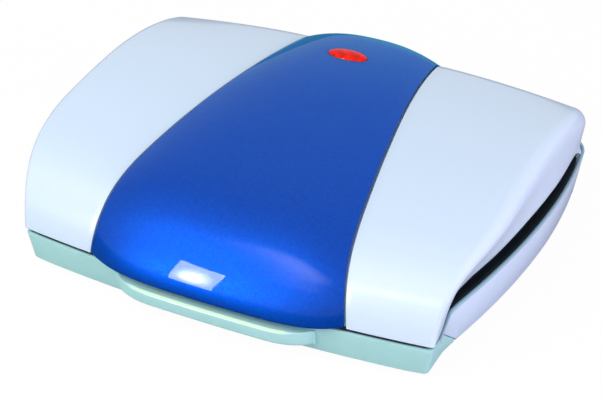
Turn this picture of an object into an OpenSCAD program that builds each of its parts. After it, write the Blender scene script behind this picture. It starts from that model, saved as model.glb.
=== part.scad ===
// Two-slice sandwich toaster with a domed lid hinged at the rear.
// Housing frame used by every module: x = 0 on the centre line, y = 0 at the front
// corners, z = 0 on the front parting line. in_place() moves it to the part's own
// frame, whose origin is under the feet in the middle of the overall depth.

/* [Housing] */
// Overall width across the widest part of the base rim
body_w = 263; // [248:1:276]
// Width of the base across its front corners
front_w = 232; // [218:0.5:238]
// Depth from the front corners to the back wall of the base
body_d = 203; // [196:1:220]
// Height of the front parting line above the table
split_h = 21.5; // [20:0.5:30]
// Height of the lid's top line above the front parting line
lid_h = 51.3; // [48:0.1:60]
// Forward bow of the front wall at its middle
front_bow = 7.5; // [4:0.5:10]
// Step up of the base rim along the sides
side_rise = 10.5; // [8.5:0.5:11.5]
// Height of the gap between the base rim and the lid's side edge
side_gap = 7; // [5:0.5:8]
// Drop of the lid's rear corners below its top line
rear_droop = 10; // [5:0.5:11]
// Wall of the plastic mouldings
wall = 2.4; // [2:0.1:2.8]
// Inward lean of the base walls, in degrees
wall_lean = 9; // [6:0.5:11]

/* [Trim and handle] */
// Height of the bright rim band along the sides
trim_h = 2.1; // [1.2:0.1:2.4]
// Width of the front handle ledge at the panel
handle_w = 114; // [100:1:124]
// Thickness of the handle ledge
handle_t = 8.4; // [7:0.2:10]
// Reach of the handle ledge in front of the front corners
handle_reach = 15.5; // [14.5:0.5:19]

/* [Lid panel] */
// Width of the coloured panel at the nose
panel_front_w = 144; // [130:1:150]
// Width of the coloured panel at the back edge
panel_back_w = 79; // [70:1:90]
// Thickness of the coloured panel
panel_t = 2.4; // [2:0.1:2.6]
// Rise of the panel's crown above the white wings
panel_crown = 7.5; // [6:0.5:9]
// Distance of the lamp from the front corners
lamp_y = 151; // [140:1:158]
// Length of the oval lamp lens
lamp_l = 23; // [20:0.5:27]
// Width of the oval lamp lens
lamp_w = 11; // [9:0.5:13]

/* [Grill plates] */
// Depth of a sandwich pocket in each plate
pocket_h = 8; // [6:0.5:9]
// Width of a sandwich pocket
pocket_w = 98; // [88:1:101]
// Front to back length of a sandwich pocket
pocket_l = 108; // [96:1:114]
// Metal thickness of the plates
plate_t = 2; // [1.6:0.1:2.4]
// Diameter of the tubular heating elements
heater_d = 6.5; // [5:0.5:7]

/* [Hinge] */
// Distance of each hinge from the centre line
hinge_x = 78; // [66:1:90]
// Diameter of the hinge pins
pin_d = 4; // [3:0.5:5]
// Running clearance round the pins, on the radius
pin_play = 0.05; // [0.03:0.01:0.09]
// Width of the lid's hinge lug
lug_w = 14; // [10:1:18]
// Width of each base ear
ear_w = 8; // [5:1:10]

/* [Feet and inlet] */
// Height of the feet below the base panel
foot_h = 4; // [3:0.5:5]
// Diameter of the feet
foot_d = 15; // [11:1:18]
// Diameter of the power cord that the gland takes
cord_d = 6.6; // [5.8:0.1:8]

/* [Hidden] */

// Shared clearances, and the length by which a cutting body stands out
fit = 0.15;
seat_gap = 0.3;
contact = 0.05;
wall_gap = 0.1;
cut = 1;

// ---- Heights and depths in the housing frame ----
base_z = -(split_h - foot_h);
front_lip_z = -1;
lid_edge_z = 1;
lid_set_in = 7;
back_gap = 1.7;
lid_back = body_d - lid_set_in;
lid_back_z = side_rise + back_gap;
rebate = 0.8;
flange_z = side_rise - rebate + contact;
plate_z = flange_z + plate_t;
upper_z = plate_z + seat_gap;
lean = tan(wall_lean);
front_lean = tan(6);
pad_in = 1.2;
barrel_wall = 3.5;
hinge_y = body_d + front_lean * side_rise + wall_gap + pad_in;
barrel_r = pin_d / 2 + barrel_wall;
hinge_z = side_rise + barrel_r + seat_gap;
rear_end = hinge_y + barrel_r;
front_end = handle_reach;
mid_y = (rear_end - front_end) / 2;

// ---- Curve helpers ----
function mix(a, b, t) = a + (b - a) * t;
function limit(t) = min(1, max(0, t));
function ease(t) = let (u = limit(t)) u * u * (3 - 2 * u);
function bezier(p, t) =
    pow(1 - t, 3) * p[0] + 3 * t * pow(1 - t, 2) * p[1]
    + 3 * t * t * (1 - t) * p[2] + pow(t, 3) * p[3];
function turned(v) = [v[1], -v[0]];
function unit(v) = v / norm(v);
function join(lists) = [for (l = lists) each l];

// Quads between two rings of n points, whose first indices are a and b
function ring_faces(a, b, n) = [for (j = [0 : n - 1]) [b + j, b + (j + 1) % n, a + (j + 1) % n, a + j]];

// Closed solid through a list of equal sections; loop = true joins the last to the first
module sweep(sections, loop = false, cap_start = 0) {
    n = len(sections[0]);
    m = len(sections);
    last = loop ? m - 1 : m - 2;
    walls = join([for (i = [0 : last]) ring_faces(i * n, ((i + 1) % m) * n, n)]);
    caps = loop ? [] : [
        [for (j = [0 : n - 1]) (cap_start + j) % n],
        [for (j = [0 : n - 1]) (m - 1) * n + (cap_start - j + n) % n]
    ];
    polyhedron(join(sections), concat(walls, caps));
}

// Closed sheet between an outer and an inner grid of points of the same size
module sheet(outer, inner) {
    rows = len(outer);
    cols = len(outer[0]);
    size = rows * cols;
    function at(i, j) = i * cols + j;
    top = [for (i = [0 : rows - 2]) for (j = [0 : cols - 2])
        [at(i, j), at(i + 1, j), at(i + 1, j + 1), at(i, j + 1)]];
    under = [for (f = top) [f[3] + size, f[2] + size, f[1] + size, f[0] + size]];
    ends = [for (j = [0 : cols - 2]) each [
        [at(0, j), at(0, j + 1), at(0, j + 1) + size, at(0, j) + size],
        [at(rows - 1, j + 1), at(rows - 1, j), at(rows - 1, j) + size, at(rows - 1, j + 1) + size]]];
    sides = [for (i = [0 : rows - 2]) each [
        [at(i + 1, 0), at(i, 0), at(i, 0) + size, at(i + 1, 0) + size],
        [at(i, cols - 1), at(i + 1, cols - 1), at(i + 1, cols - 1) + size, at(i, cols - 1) + size]]];
    polyhedron(concat(join(outer), join(inner)), concat(top, under, ends, sides));
}

module in_place() {
    translate([0, -mid_y, split_h]) children();
}

// ---- Plan outline of the base, at the height of the parting line ----
front_hw = front_w / 2;
wide_hw = body_w / 2 - lean * side_rise;
flare_y = 20;
wide_y = body_d - 70;
draw_in = 4.4;
draw_in_l = 58;
corner_r = 3;
rear_r = 18;
// The flare starts softly and runs out at the widest station, then the sides draw in
function flare(y) = let (t = limit((y - flare_y) / (wide_y - flare_y)), s = t * t / (t + 0.06))
    1 - pow(1 - s, 2);
function side_x(y) = front_hw + (wide_hw - front_hw) * flare(y)
    - draw_in * pow(max(0, y - wide_y) / draw_in_l, 2);
function bow(x) = -front_bow * (1 - pow(x / front_hw, 2));

// S-curve of the base rim and of the lid's edge
step_start = 10;
step_end = 21;
tongue_y = 15;
seam_y = 32;
edge_start = 4;
edge_rise_l = 26;
edge_lift = 1.8;
edge_lift_y = 55;
edge_lift_l = 50;
edge_fall_y = 150;
edge_end = lid_back - 9;
function rim_z(y) = mix(front_lip_z, side_rise, ease((y - step_start) / (step_end - step_start)));
function edge_z(y) = mix(lid_edge_z, side_rise + side_gap, ease((y - edge_start) / edge_rise_l))
    + edge_lift * ease((y - edge_lift_y) / edge_lift_l)
    - (side_rise + side_gap + edge_lift - lid_back_z)
        * pow(ease((y - edge_fall_y) / (edge_end - edge_fall_y)), 3);
seam_drop = 1;
seam_low = 1.6;
// The rim band keeps its width where the rim climbs
function band_h(y) = trim_h * norm([1, rim_z(y + 0.5) - rim_z(y - 0.5)]);
function seam_z(y) = mix(rim_z(tongue_y) - band_h(tongue_y) - seam_drop, base_z + seam_low,
    (y - tongue_y) / (seam_y - tongue_y));

front_n = 7;
front_x = front_hw - corner_r;
corner_turn = atan(2 * front_bow * front_x / pow(front_hw, 2));
corner_y = bow(front_x) + corner_r * cos(corner_turn);
rear_y = body_d - rear_r;
side_ys = join([
    [for (j = [0 : 3]) mix(corner_y + 1, tongue_y, j / 4)],
    [for (j = [0 : 10]) mix(tongue_y, seam_y + 2, j / 11)],
    [for (j = [0 : 15]) mix(seam_y + 2, rear_y, j / 15)]
]);
right_plan = join([
    [for (j = [0 : front_n]) let (x = front_x * j / front_n) [x, bow(x)]],
    [for (a = [-50, -20]) [front_x + corner_r * cos(a), corner_y + corner_r * sin(a)]],
    [for (y = side_ys) [side_x(y), y]],
    [for (a = [18, 36, 54, 72]) [side_x(rear_y) - rear_r * (1 - cos(a)), rear_y + rear_r * sin(a)]],
    [for (f = [0.9, 0.45, 0]) [(side_x(rear_y) - rear_r) * f, body_d]]
]);
// From the back centre, along the left side and the front, to the right side's end
plan = concat(
    [for (j = [len(right_plan) - 1 : -1 : 1]) [-right_plan[j][0], right_plan[j][1]]],
    [for (j = [0 : len(right_plan) - 2]) right_plan[j]]
);
plan_n = len(plan);
plan_normal = [for (k = [0 : plan_n - 1])
    unit(turned(plan[(k + 1) % plan_n] - plan[(k + plan_n - 1) % plan_n]))];
// Outward direction at each station, mitred close to a front corner on both its sides
miter_l = 10;
function miter(t) = limit(1 - t / miter_l);
function outward(k) = let (p = plan[k], side = sign(p[0]))
    p[1] > tongue_y ? plan_normal[k]
    : abs(p[0]) <= front_x ? [side * miter(front_x - abs(p[0])), -1]
    : [side, -miter(p[1] - corner_y)];
plan_out = [for (k = [0 : plan_n - 1]) outward(k)];
// Point of the base's surface at station k, height z, and depth e under the surface
function base_point(k, e, z) = [
    plan[k][0] + plan_out[k][0] * (lean * z - e),
    plan[k][1] + plan_out[k][1] * (front_lean * z - e),
    z
];
function section(k, loop) = [for (q = loop) base_point(k, q[0], q[1])];

// ---- Base mouldings ----
tongue_t = 1.6;
rim_t = 1.4;
lip_t = 1.2;
lip_h = 3.4;
shelf_h = 6;
break_edge = 0.6;
skin = wall + wall_gap + lip_t;
// Bright moulding: front panel in front of the seam, thin rim with a locating lip behind it
function bezel_loop(k) = let (
    y = plan[k][1],
    top = rim_z(y),
    band = top - band_h(y),
    front = y < seam_y - 1,
    end = y < seam_y + 1,
    tongue = y > tongue_y - 0.5,
    inset = front ? (tongue ? tongue_t + fit + contact : 0) : wall + wall_gap,
    low = end ? base_z : band - lip_h,
    seam = front ? (tongue ? seam_z(y) : band - break_edge) : low + 1,
    foot_in = front ? 0 : wall + wall_gap
) [
    [break_edge, top], [0, top - break_edge], [0, band], [inset, band - contact],
    [inset, seam], [foot_in, seam - 0.1], [foot_in, low + break_edge],
    [foot_in + break_edge, low], [skin, low], [skin, top - rebate],
    [rim_t, top - rebate], [rim_t, top]
];
// White moulding behind the seam, drawn out into a tongue on the bright one's side
function shell_loop(k) = let (
    y = plan[k][1],
    top = rim_z(y) - band_h(y) - fit - contact,
    full = y > seam_y + 1,
    low = full ? base_z : seam_z(y) + seat_gap + contact,
    thick = full ? wall : tongue_t,
    deep = y > seam_y + 3 ? skin : thick,
    shelf = full ? top - shelf_h : mix(low, top, 0.6)
) [
    [0, top], [0, mix(low, top, 0.5)], [0, low + break_edge], [break_edge, low],
    [deep, low], [deep, shelf], [thick, shelf + break_edge], [thick, top]
];

// Stations of the white moulding: each half runs up to the back centre, which both hold
shell_halves = [
    [for (k = [0 : plan_n - 1]) if (plan[k][0] > 1 && plan[k][1] >= tongue_y) k, 0],
    [for (k = [0 : plan_n - 1]) if (plan[k][0] < 1 && plan[k][1] >= tongue_y) k]
];
gland_x = 44;
gland_z = -4;
gland_body = cord_d + 6;

module base_shell() {
    color("white") in_place() difference() {
        for (half = shell_halves) sweep([for (k = half) section(k, shell_loop(k))], false, 3);
        translate([gland_x, body_d - wall / 2, gland_z])
            cube([gland_body + 2 * fit, 6 * wall, gland_body + 2 * fit], center = true);
    }
}

module base_bezel() {
    color("darkseagreen") in_place()
        sweep([for (k = [0 : plan_n - 1]) section(k, bezel_loop(k))], true);
}

// ---- Handle ledge ----
handle_top = -4.6;
handle_n = 24;
handle_end_r = 24;
handle_crown = 1.2;
handle_bevel = 1.6;
handle_under = 1;
end_turn = 0.5;
end_proud = 1;
function handle_front(x) = let (
    h = handle_w / 2,
    start = h - handle_end_r,
    over = max(0, abs(x) - start) / handle_end_r,
    crown = handle_crown * (1 - pow(x / h, 2)),
    drop = handle_end_r * end_turn * (1 - sqrt(max(0, 1 - over * over)))
) min(bow(x) - end_proud, -(handle_reach - handle_crown + crown - drop));
module front_handle() {
    low = handle_top - handle_t;
    end_x = handle_w / 2 - seat_gap;
    sections = [for (j = [0 : handle_n]) let (
        x = end_x * sin(mix(-90, 90, j / handle_n)),
        y = handle_front(x),
        back_top = bow(x) - front_lean * handle_top - wall_gap,
        back_low = bow(x) - front_lean * low - wall_gap,
        b = min(handle_bevel, max(fit, (back_top - y) / 3))
    ) [
        [x, back_top, handle_top], [x, y + b, handle_top], [x, y, handle_top - b],
        [x, y, low + handle_under], [x, y + min(handle_under, b), low], [x, back_low, low]
    ]];
    color("darkseagreen") in_place() sweep(sections);
}

// ---- Floor, feet and screws ----
floor_t = 2.5;
floor_in = skin + fit;
foot_in_x = 26;
foot_x = front_hw - foot_in_x;
foot_ys = [20, body_d - 28];
foot_edge = 0.8;
foot_step = 3;
screw_d = 3.4;
shank_d = screw_d - 0.4;
screw_l = 9;
head_d = 6.4;
head_t = 1;
slot_w = 1;
tap_l = 10;
screw_in_x = 14;
screw_pts = [for (sx = [-1, 1]) for (y = [26, body_d - 40]) [sx * (front_hw - screw_in_x), y]];
pillar_d = 8;
standoff_d = 7;
standoff_in = [12, 10];
vent_w = 4;
vent_l = 50;
vent_y = 70;
vent_pitch = 12;
vent_n = 5;
module floor_outline(e) {
    polygon([for (k = [0 : plan_n - 1]) let (p = base_point(k, e, base_z)) [p[0], p[1]]]);
}
module base_floor() {
    color("whitesmoke") in_place() difference() {
        union() {
            translate([0, 0, base_z]) linear_extrude(floor_t) floor_outline(floor_in);
            for (sx = [-1, 1]) for (sy = [-1, 1])
                translate([sx * (tray_w / 2 - standoff_in[0]),
                    pocket_y + sy * (tray_l / 2 - standoff_in[1]), base_z + cut])
                    cylinder(h = lower_tray_z - base_z - cut, d = standoff_d, $fn = 48);
        }
        for (i = [-vent_n : vent_n])
            translate([i * vent_pitch - vent_w / 2, vent_y, base_z - cut])
                cube([vent_w, vent_l, floor_t + 2 * cut]);
        for (p = screw_pts) translate([p[0], p[1], base_z - cut]) {
            cylinder(h = floor_t + 2 * cut, d = screw_d, $fn = 48);
            cylinder(h = cut + seat_gap + head_t, d = head_d + 4 * fit, $fn = 48);
        }
        for (sx = [-1, 1]) for (y = foot_ys)
            translate([sx * foot_x, y, base_z - cut])
                cylinder(h = cut + foot_peg, d = foot_d - foot_step, $fn = 48);
    }
}
foot_peg = 1;
module foot(sx, y) {
    color("dimgray") in_place() translate([sx * foot_x, y, base_z]) {
        translate([0, 0, -foot_h])
            cylinder(h = foot_edge, d1 = foot_d - 2 * foot_edge, d2 = foot_d, $fn = 64);
        translate([0, 0, foot_edge - foot_h]) cylinder(h = foot_h - foot_edge, d = foot_d, $fn = 64);
        cylinder(h = foot_peg, d = foot_d - foot_step - 2 * fit, $fn = 48);
    }
}
module foot_front_left() { foot(-1, foot_ys[0]); }
module foot_front_right() { foot(1, foot_ys[0]); }
module foot_rear_left() { foot(-1, foot_ys[1]); }
module foot_rear_right() { foot(1, foot_ys[1]); }
// Pillars between the floor and the lower plate's rim, tapped for the floor screws
pillar_z = base_z + floor_t;
module plate_pillars() {
    color("silver") in_place() for (p = screw_pts) translate([p[0], p[1], pillar_z]) difference() {
        cylinder(h = flange_z - pillar_z, d = pillar_d, $fn = 48);
        translate([0, 0, -cut]) cylinder(h = cut + tap_l, d = shank_d + 2 * fit, $fn = 48);
    }
}
module floor_screws() {
    color("silver") in_place() for (p = screw_pts) translate([p[0], p[1], base_z + seat_gap]) {
        difference() {
            cylinder(h = head_t, d = head_d, $fn = 48);
            for (a = [0, 90]) rotate([0, 0, a])
                cube([head_d - 2 * head_t, slot_w, head_t], center = true);
        }
        translate([0, 0, head_t - contact]) cylinder(h = screw_l, d = shank_d, $fn = 48);
    }
}

// ---- Plates ----
pocket_gap = 10;
pocket_x = (pocket_w + pocket_gap) / 2;
pocket_y = 92;
pocket_r = 6;
plate_front = 9;
plate_rear = lid_back - wall - 4;
plate_rear_r = 18;
plate_inset = rim_t + 0.4;
chamfer_w = 10;
chamfer_end = 22;
ridge_w = 6;
ridge_drop = 1;
ridge_ends = 8;
// Plan of a plate, e inside the rim's outer edge along the sides, its front corners cut off
function rim_hw(y) = side_x(y) + lean * side_rise;
module plate_outline(e, narrow, rear) {
    turn_y = rear - plate_rear_r;
    right = join([
        [[rim_hw(0) - chamfer_w - narrow, plate_front],
            [rim_hw(0) - max(e, chamfer_w / 2), chamfer_end - 2]],
        [for (j = [0 : 12]) let (y = mix(chamfer_end, turn_y, j / 12)) [rim_hw(y) - e, y]],
        [for (a = [22, 45, 68, 90])
            [rim_hw(turn_y) - e - plate_rear_r * (1 - cos(a)), turn_y + plate_rear_r * sin(a)]]
    ]);
    polygon(concat(right, [for (j = [len(right) - 1 : -1 : 0]) [-right[j][0], right[j][1]]]));
}
module pocket_plan(grow) {
    offset_r = pocket_r + grow;
    w = pocket_w / 2 + grow;
    l = pocket_l / 2 + grow;
    union() {
        square([2 * w, 2 * (l - offset_r)], center = true);
        square([2 * (w - offset_r), 2 * l], center = true);
        for (sx = [-1, 1]) for (sy = [-1, 1])
            translate([sx * (w - offset_r), sy * (l - offset_r)]) circle(r = offset_r, $fn = 48);
    }
}
ridge_turn = atan2(pocket_l, pocket_w);
ridge_l = norm([pocket_w, pocket_l]) - 2 * ridge_ends;
// A plate lying with its face up: rim sheet, two tubs, and a dividing ridge in each pocket
module plate_body(e) {
    difference() {
        union() {
            linear_extrude(plate_t) plate_outline(e, 0, plate_rear);
            for (sx = [-1, 1]) translate([sx * pocket_x, pocket_y, -pocket_h])
                linear_extrude(pocket_h + plate_t) pocket_plan(plate_t);
        }
        for (sx = [-1, 1]) translate([sx * pocket_x, pocket_y, plate_t - pocket_h])
            linear_extrude(pocket_h + cut) pocket_plan(0);
    }
    for (sx = [-1, 1]) translate([sx * pocket_x, pocket_y, plate_t - pocket_h])
        rotate([0, 0, sx * ridge_turn]) translate([-ridge_l / 2, -ridge_w / 2, 0])
            cube([ridge_l, ridge_w, pocket_h - ridge_drop]);
}
module skirt(e, h) {
    linear_extrude(h) difference() {
        plate_outline(e, 0, plate_rear);
        translate([0, plate_t, 0])
            plate_outline(e + plate_t, plate_t, plate_rear - 2 * plate_t);
    }
}
skirt_z = 3;
skirt_gap = 2.6;
module lower_plate() {
    color("#202224") in_place() {
        translate([0, 0, flange_z]) plate_body(plate_inset);
        translate([0, 0, skirt_z]) skirt(skin + skirt_gap, flange_z - skirt_z);
    }
}
lid_clear = 3;
module upper_plate() {
    color("#202224") in_place()
        translate([0, 0, upper_z + plate_t]) mirror([0, 0, 1]) plate_body(wall + lid_clear);
}

// ---- Heating elements: a closed-end loop of tube lying on the tubs ----
heater_w = 167;
heater_l = 84;
heater_r = 18;
lead_x = 20;
lead_l = 8;
lead_d = 3.5;
clip_l = 10;
clip_t = 1;
clip_foot = 3;
tub_low = plate_z - pocket_h - plate_t;
tub_high = upper_z + pocket_h + plate_t;
module heater_loop() {
    w = heater_w / 2 - heater_r;
    l = heater_l / 2 - heater_r;
    for (sx = [-1, 1]) {
        translate([sx * heater_w / 2, -l, 0]) rotate([-90, 0, 0])
            cylinder(h = 2 * l, d = heater_d, $fn = 32);
        translate([sx * w, -l, 0]) rotate([0, 0, sx > 0 ? -90 : 180])
            rotate_extrude(angle = 90, $fn = 64) translate([heater_r, 0]) circle(d = heater_d, $fn = 32);
        translate([sx * w, l, 0]) rotate([0, 0, sx > 0 ? 0 : 90])
            rotate_extrude(angle = 90, $fn = 64) translate([heater_r, 0]) circle(d = heater_d, $fn = 32);
        translate([sx > 0 ? lead_x : -w, heater_l / 2, 0]) rotate([0, 90, 0])
            cylinder(h = w - lead_x, d = heater_d, $fn = 32);
        translate([sx > 0 ? lead_x - lead_l : -lead_x, heater_l / 2, 0]) rotate([0, 90, 0])
            cylinder(h = lead_l, d = lead_d, $fn = 32);
    }
    translate([-w, -heater_l / 2, 0]) rotate([0, 90, 0]) cylinder(h = 2 * w, d = heater_d, $fn = 32);
}
lower_heater_z = tub_low - heater_d / 2;
upper_heater_z = tub_high + heater_d / 2;
module lower_heater() {
    color("dimgray") in_place() translate([0, pocket_y, lower_heater_z]) heater_loop();
}
module upper_heater() {
    color("dimgray") in_place() translate([0, pocket_y, upper_heater_z]) heater_loop();
}
// Spring steel bridges that hold a heater against the tubs
module heater_clip() {
    difference() {
        translate([-heater_d / 2 - clip_foot, -clip_l / 2, 0])
            cube([heater_d + 2 * clip_foot, clip_l, heater_d + clip_t]);
        translate([-heater_d / 2 - wall_gap, -clip_l / 2 - cut, -cut])
            cube([heater_d + 2 * wall_gap, clip_l + 2 * cut, heater_d + wall_gap + cut]);
    }
}
module lower_heater_clips() {
    color("silver") in_place() for (sx = [-1, 1])
        translate([sx * heater_w / 2, pocket_y, tub_low]) mirror([0, 0, 1]) heater_clip();
}
module upper_heater_clips() {
    color("silver") in_place() for (sx = [-1, 1])
        translate([sx * heater_w / 2, pocket_y, tub_high]) heater_clip();
}

// ---- Reflector trays ----
tray_t = 0.8;
tray_margin_x = 8.5;
tray_margin_y = 25;
tray_gap = 1.6;
tray_w = heater_w + 2 * tray_margin_x;
tray_l = heater_l + 2 * tray_margin_y;
module tray(h) {
    difference() {
        translate([-tray_w / 2, -tray_l / 2, 0]) cube([tray_w, tray_l, h]);
        translate([-tray_w / 2 + tray_t, -tray_l / 2 + tray_t, tray_t])
            cube([tray_w - 2 * tray_t, tray_l - 2 * tray_t, h]);
    }
}
lower_tray_z = lower_heater_z - heater_d / 2 - tray_gap - tray_t;
module lower_reflector() {
    color("lightgray") in_place() translate([0, pocket_y, lower_tray_z])
        tray(tub_low - lower_tray_z - seat_gap);
}
upper_tray_z = upper_heater_z + heater_d / 2 + tray_gap;
module upper_reflector() {
    color("lightgray") in_place() translate([0, pocket_y, upper_tray_z + tray_t]) mirror([0, 0, 1])
        tray(upper_tray_z + tray_t - tub_high - seat_gap);
}

// ---- Electrical parts ----
thermostat_w = 18;
thermostat_l = 14;
thermostat_h = 5;
probe_d = 5;
// Midway between the heater's front run and the tray's front wall
thermostat_y = pocket_y - (heater_l + heater_d + tray_l - 2 * tray_t) / 4;
module thermostat() {
    low = lower_tray_z + tray_t;
    color("tan") in_place() translate([0, thermostat_y, low]) {
        translate([-thermostat_w / 2, -thermostat_l / 2, 0])
            cube([thermostat_w, thermostat_l, thermostat_h]);
        translate([0, 0, thermostat_h])
            cylinder(h = flange_z - low - thermostat_h, d = probe_d, $fn = 32);
    }
}
terminal_w = 34;
terminal_l = 12;
terminal_h = 10;
terminal_pitch = 11;
terminal_d = 4;
inlet_y = body_d - 18;
module terminal_block() {
    color("ivory") in_place() translate([0, inlet_y - terminal_l / 2, base_z + floor_t]) difference() {
        translate([-terminal_w / 2, -terminal_l / 2, 0]) cube([terminal_w, terminal_l, terminal_h]);
        for (i = [-1 : 1]) translate([i * terminal_pitch, 0, terminal_h / 2])
            cylinder(h = terminal_h / 2 + cut, d = terminal_d, $fn = 32);
    }
}
fuse_l = 18;
fuse_d = 5;
fuse_lead_l = 7;
fuse_lead_d = 1.2;
module thermal_fuse() {
    color("peru") in_place() translate([0, pocket_y, tub_high + fuse_d / 2 + wall_gap])
        rotate([0, 90, 0]) {
            cylinder(h = fuse_l + 2 * fuse_lead_l, d = fuse_lead_d, center = true, $fn = 24);
            cylinder(h = fuse_l, d = fuse_d, center = true, $fn = 32);
        }
}

// ---- Cord inlet ----
cord_play = 0.4;
gland_in = 8;
gland_lip = 1.5;
gland_lip_t = 2.4;
// The lip's front face clears the leaning wall at the lip's own top
gland_face = body_d + front_lean * (gland_z + gland_body / 2 + gland_lip) + contact;
module cord_gland() {
    lip_w = gland_body + 2 * gland_lip;
    color("dimgray") in_place() translate([gland_x, 0, gland_z]) difference() {
        union() {
            translate([-gland_body / 2, body_d - gland_in, -gland_body / 2])
                cube([gland_body, gland_in + 1, gland_body]);
            translate([-lip_w / 2, gland_face, -lip_w / 2]) cube([lip_w, gland_lip_t, lip_w]);
        }
        translate([0, body_d - gland_in - cut, 0]) rotate([-90, 0, 0])
            cylinder(h = 2 * gland_in + 2 * gland_lip_t, d = cord_d + cord_play, $fn = 64);
    }
}
clamp_w = 20;
clamp_l = 8;
clamp_top = 4;
module cord_clamp() {
    axis_h = gland_z - base_z - floor_t;
    color("ivory") in_place() translate([gland_x, inlet_y - clamp_l / 4, base_z + floor_t]) difference() {
        translate([-clamp_w / 2, -clamp_l / 2, 0])
            cube([clamp_w, clamp_l, axis_h + cord_d / 2 + clamp_top]);
        translate([0, -clamp_l / 2 - cut, axis_h]) rotate([-90, 0, 0])
            cylinder(h = clamp_l + 2 * cut, d = cord_d + cord_play, $fn = 48);
    }
}

// ---- Rear deck between the lower plate and the back wall ----
deck_t = 2;
deck_gap = 4;
deck_play = 0.5;
deck_hw = side_x(rear_y) - rear_r - deck_gap;
module rear_deck() {
    color("white") in_place()
        translate([-deck_hw, plate_rear + deck_play, side_rise - rebate - deck_t])
            cube([2 * deck_hw, body_d - skin - fit - plate_rear - deck_play, deck_t]);
}

// ---- Hinges ----
pad_t = 2.6;
pad_h = 12;
// Side view of the pad that lies against the leaning back wall, up to height z
module pad_profile(depth, z) {
    face = hinge_y - pad_in;
    polygon([
        [face - front_lean * pad_h, side_rise - pad_h], [face, side_rise], [face, z],
        [face + depth, z], [face + depth - front_lean * pad_h, side_rise - pad_h]
    ]);
}
module base_hinge(sx) {
    color("white") in_place() translate([sx * hinge_x, 0, 0]) {
        for (side = [-1, 1])
            translate([side * (lug_w / 2 + seat_gap + ear_w / 2) - ear_w / 2, 0, 0]) difference() {
                rotate([90, 0, 90]) linear_extrude(ear_w) union() {
                    translate([hinge_y, hinge_z]) circle(r = barrel_r, $fn = 64);
                    pad_profile(barrel_r + pad_in, hinge_z);
                }
                translate([-cut, hinge_y, hinge_z]) rotate([0, 90, 0])
                    cylinder(h = ear_w + 2 * cut, d = pin_d, $fn = 64);
            }
        translate([-lug_w / 2 - seat_gap, 0, 0]) rotate([90, 0, 90])
            linear_extrude(lug_w + 2 * seat_gap) pad_profile(pad_t, side_rise + contact);
    }
}
module base_hinge_left() { base_hinge(-1); }
module base_hinge_right() { base_hinge(1); }
module hinge_pin(sx) {
    length = lug_w + 2 * seat_gap + 2 * ear_w;
    color("silver") in_place() translate([sx * hinge_x - length / 2, hinge_y, hinge_z])
        rotate([0, 90, 0]) cylinder(h = length, d = pin_d, $fn = 64);
}
module hinge_pin_left() { hinge_pin(-1); }
module hinge_pin_right() { hinge_pin(1); }
web_low = 2;
web_high = 5;
module lid_hinge(sx) {
    color("white") in_place() translate([sx * hinge_x - lug_w / 2, 0, 0]) difference() {
        rotate([90, 0, 90]) linear_extrude(lug_w) union() {
            translate([hinge_y, hinge_z]) circle(r = barrel_r, $fn = 64);
            translate([lid_back + contact, hinge_z - barrel_r + web_low])
                square([hinge_y - lid_back - contact, barrel_r - web_low + web_high]);
        }
        translate([-cut, hinge_y, hinge_z]) rotate([0, 90, 0])
            cylinder(h = lug_w + 2 * cut, d = pin_d + 2 * pin_play, $fn = 64);
    }
}
module lid_hinge_left() { lid_hinge(-1); }
module lid_hinge_right() { lid_hinge(1); }

// ---- Lid surface: a side profile carried across the width ----
nose_d = 38;
nose_h = lid_h - 9.3;
back_y = lid_back - 16;
back_z = lid_h - 4.8;
roll_z = lid_h - 21;
function nose_curve(low) = [[0, low], [3.4, nose_h * 0.6], [14.7, nose_h - 5.8], [nose_d, nose_h]];
top_curve = [[nose_d, nose_h], [81.6, nose_h + 10.8], [mix(nose_d, back_y, 0.69), back_z + 8.5],
    [back_y, back_z]];
roll_curve = [[back_y, back_z], [back_y + 7, back_z - 1.4], [lid_back, roll_z + 9], [lid_back, roll_z]];
nose_n = 13;
top_n = 13;
roll_n = 6;
function profile(low, high) = join([
    [for (j = [0 : nose_n - 1]) bezier(nose_curve(low), j / nose_n)],
    [for (j = [0 : top_n - 1]) bezier(top_curve, j / top_n)],
    [for (j = [0 : roll_n - 1]) bezier(roll_curve, j / roll_n)],
    [[lid_back, roll_z], [lid_back, mix(roll_z, high, 0.5)], [lid_back, high]]
]);
function normals(p) = let (n = len(p)) [for (i = [0 : n - 1])
    -1 * unit(turned(p[min(n - 1, i + 1)] - p[max(0, i - 1)]))];
function lengths(p) = [for (i = 0, s = 0; i < len(p);
    s = s + (i + 1 < len(p) ? norm(p[i + 1] - p[i]) : 0), i = i + 1) s];
function part_way(p) = let (l = lengths(p)) [for (s = l) s / l[len(l) - 1]];
// The bow of the front wall fades out over the lid's top
function lid_bow(x, y) = bow(x) * (1 - limit(y / 90));
crest_hw = wide_hw + 0.2;
lid_front_hw = front_hw + 0.6;
crest_run = 68;
corner_l = 28;
corner_in = 8;
// The crest runs out from the narrow front and turns in again round the rear corner
function corner_turn_in(y) = let (t = limit((y - lid_back + corner_l) / corner_l)) 1 - sqrt(1 - t * t);
function crest_x(y) = mix(lid_front_hw, crest_hw, 1 - pow(1 - limit(y / crest_run), 2))
    - corner_in * corner_turn_in(y);
function crest_r(v) = mix(2.5, 8, ease(v / 0.5)) + 4 * ease((v - 0.8) / 0.2);
lid_inset = 1.7;
function rim_x(y) = side_x(y) + lean * side_rise - lid_inset;
function panel_x(v) = bezier([panel_front_w / 2, mix(panel_back_w, panel_front_w, 0.72) / 2,
    mix(panel_back_w, panel_front_w, 0.154) / 2, panel_back_w / 2], limit(v / 0.86));
groove = 0.5;
seat = panel_t + 0.15;

lid_line = profile(lid_edge_z, lid_back_z);
lid_normal = normals(lid_line);
lid_way = part_way(lid_line);

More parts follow.
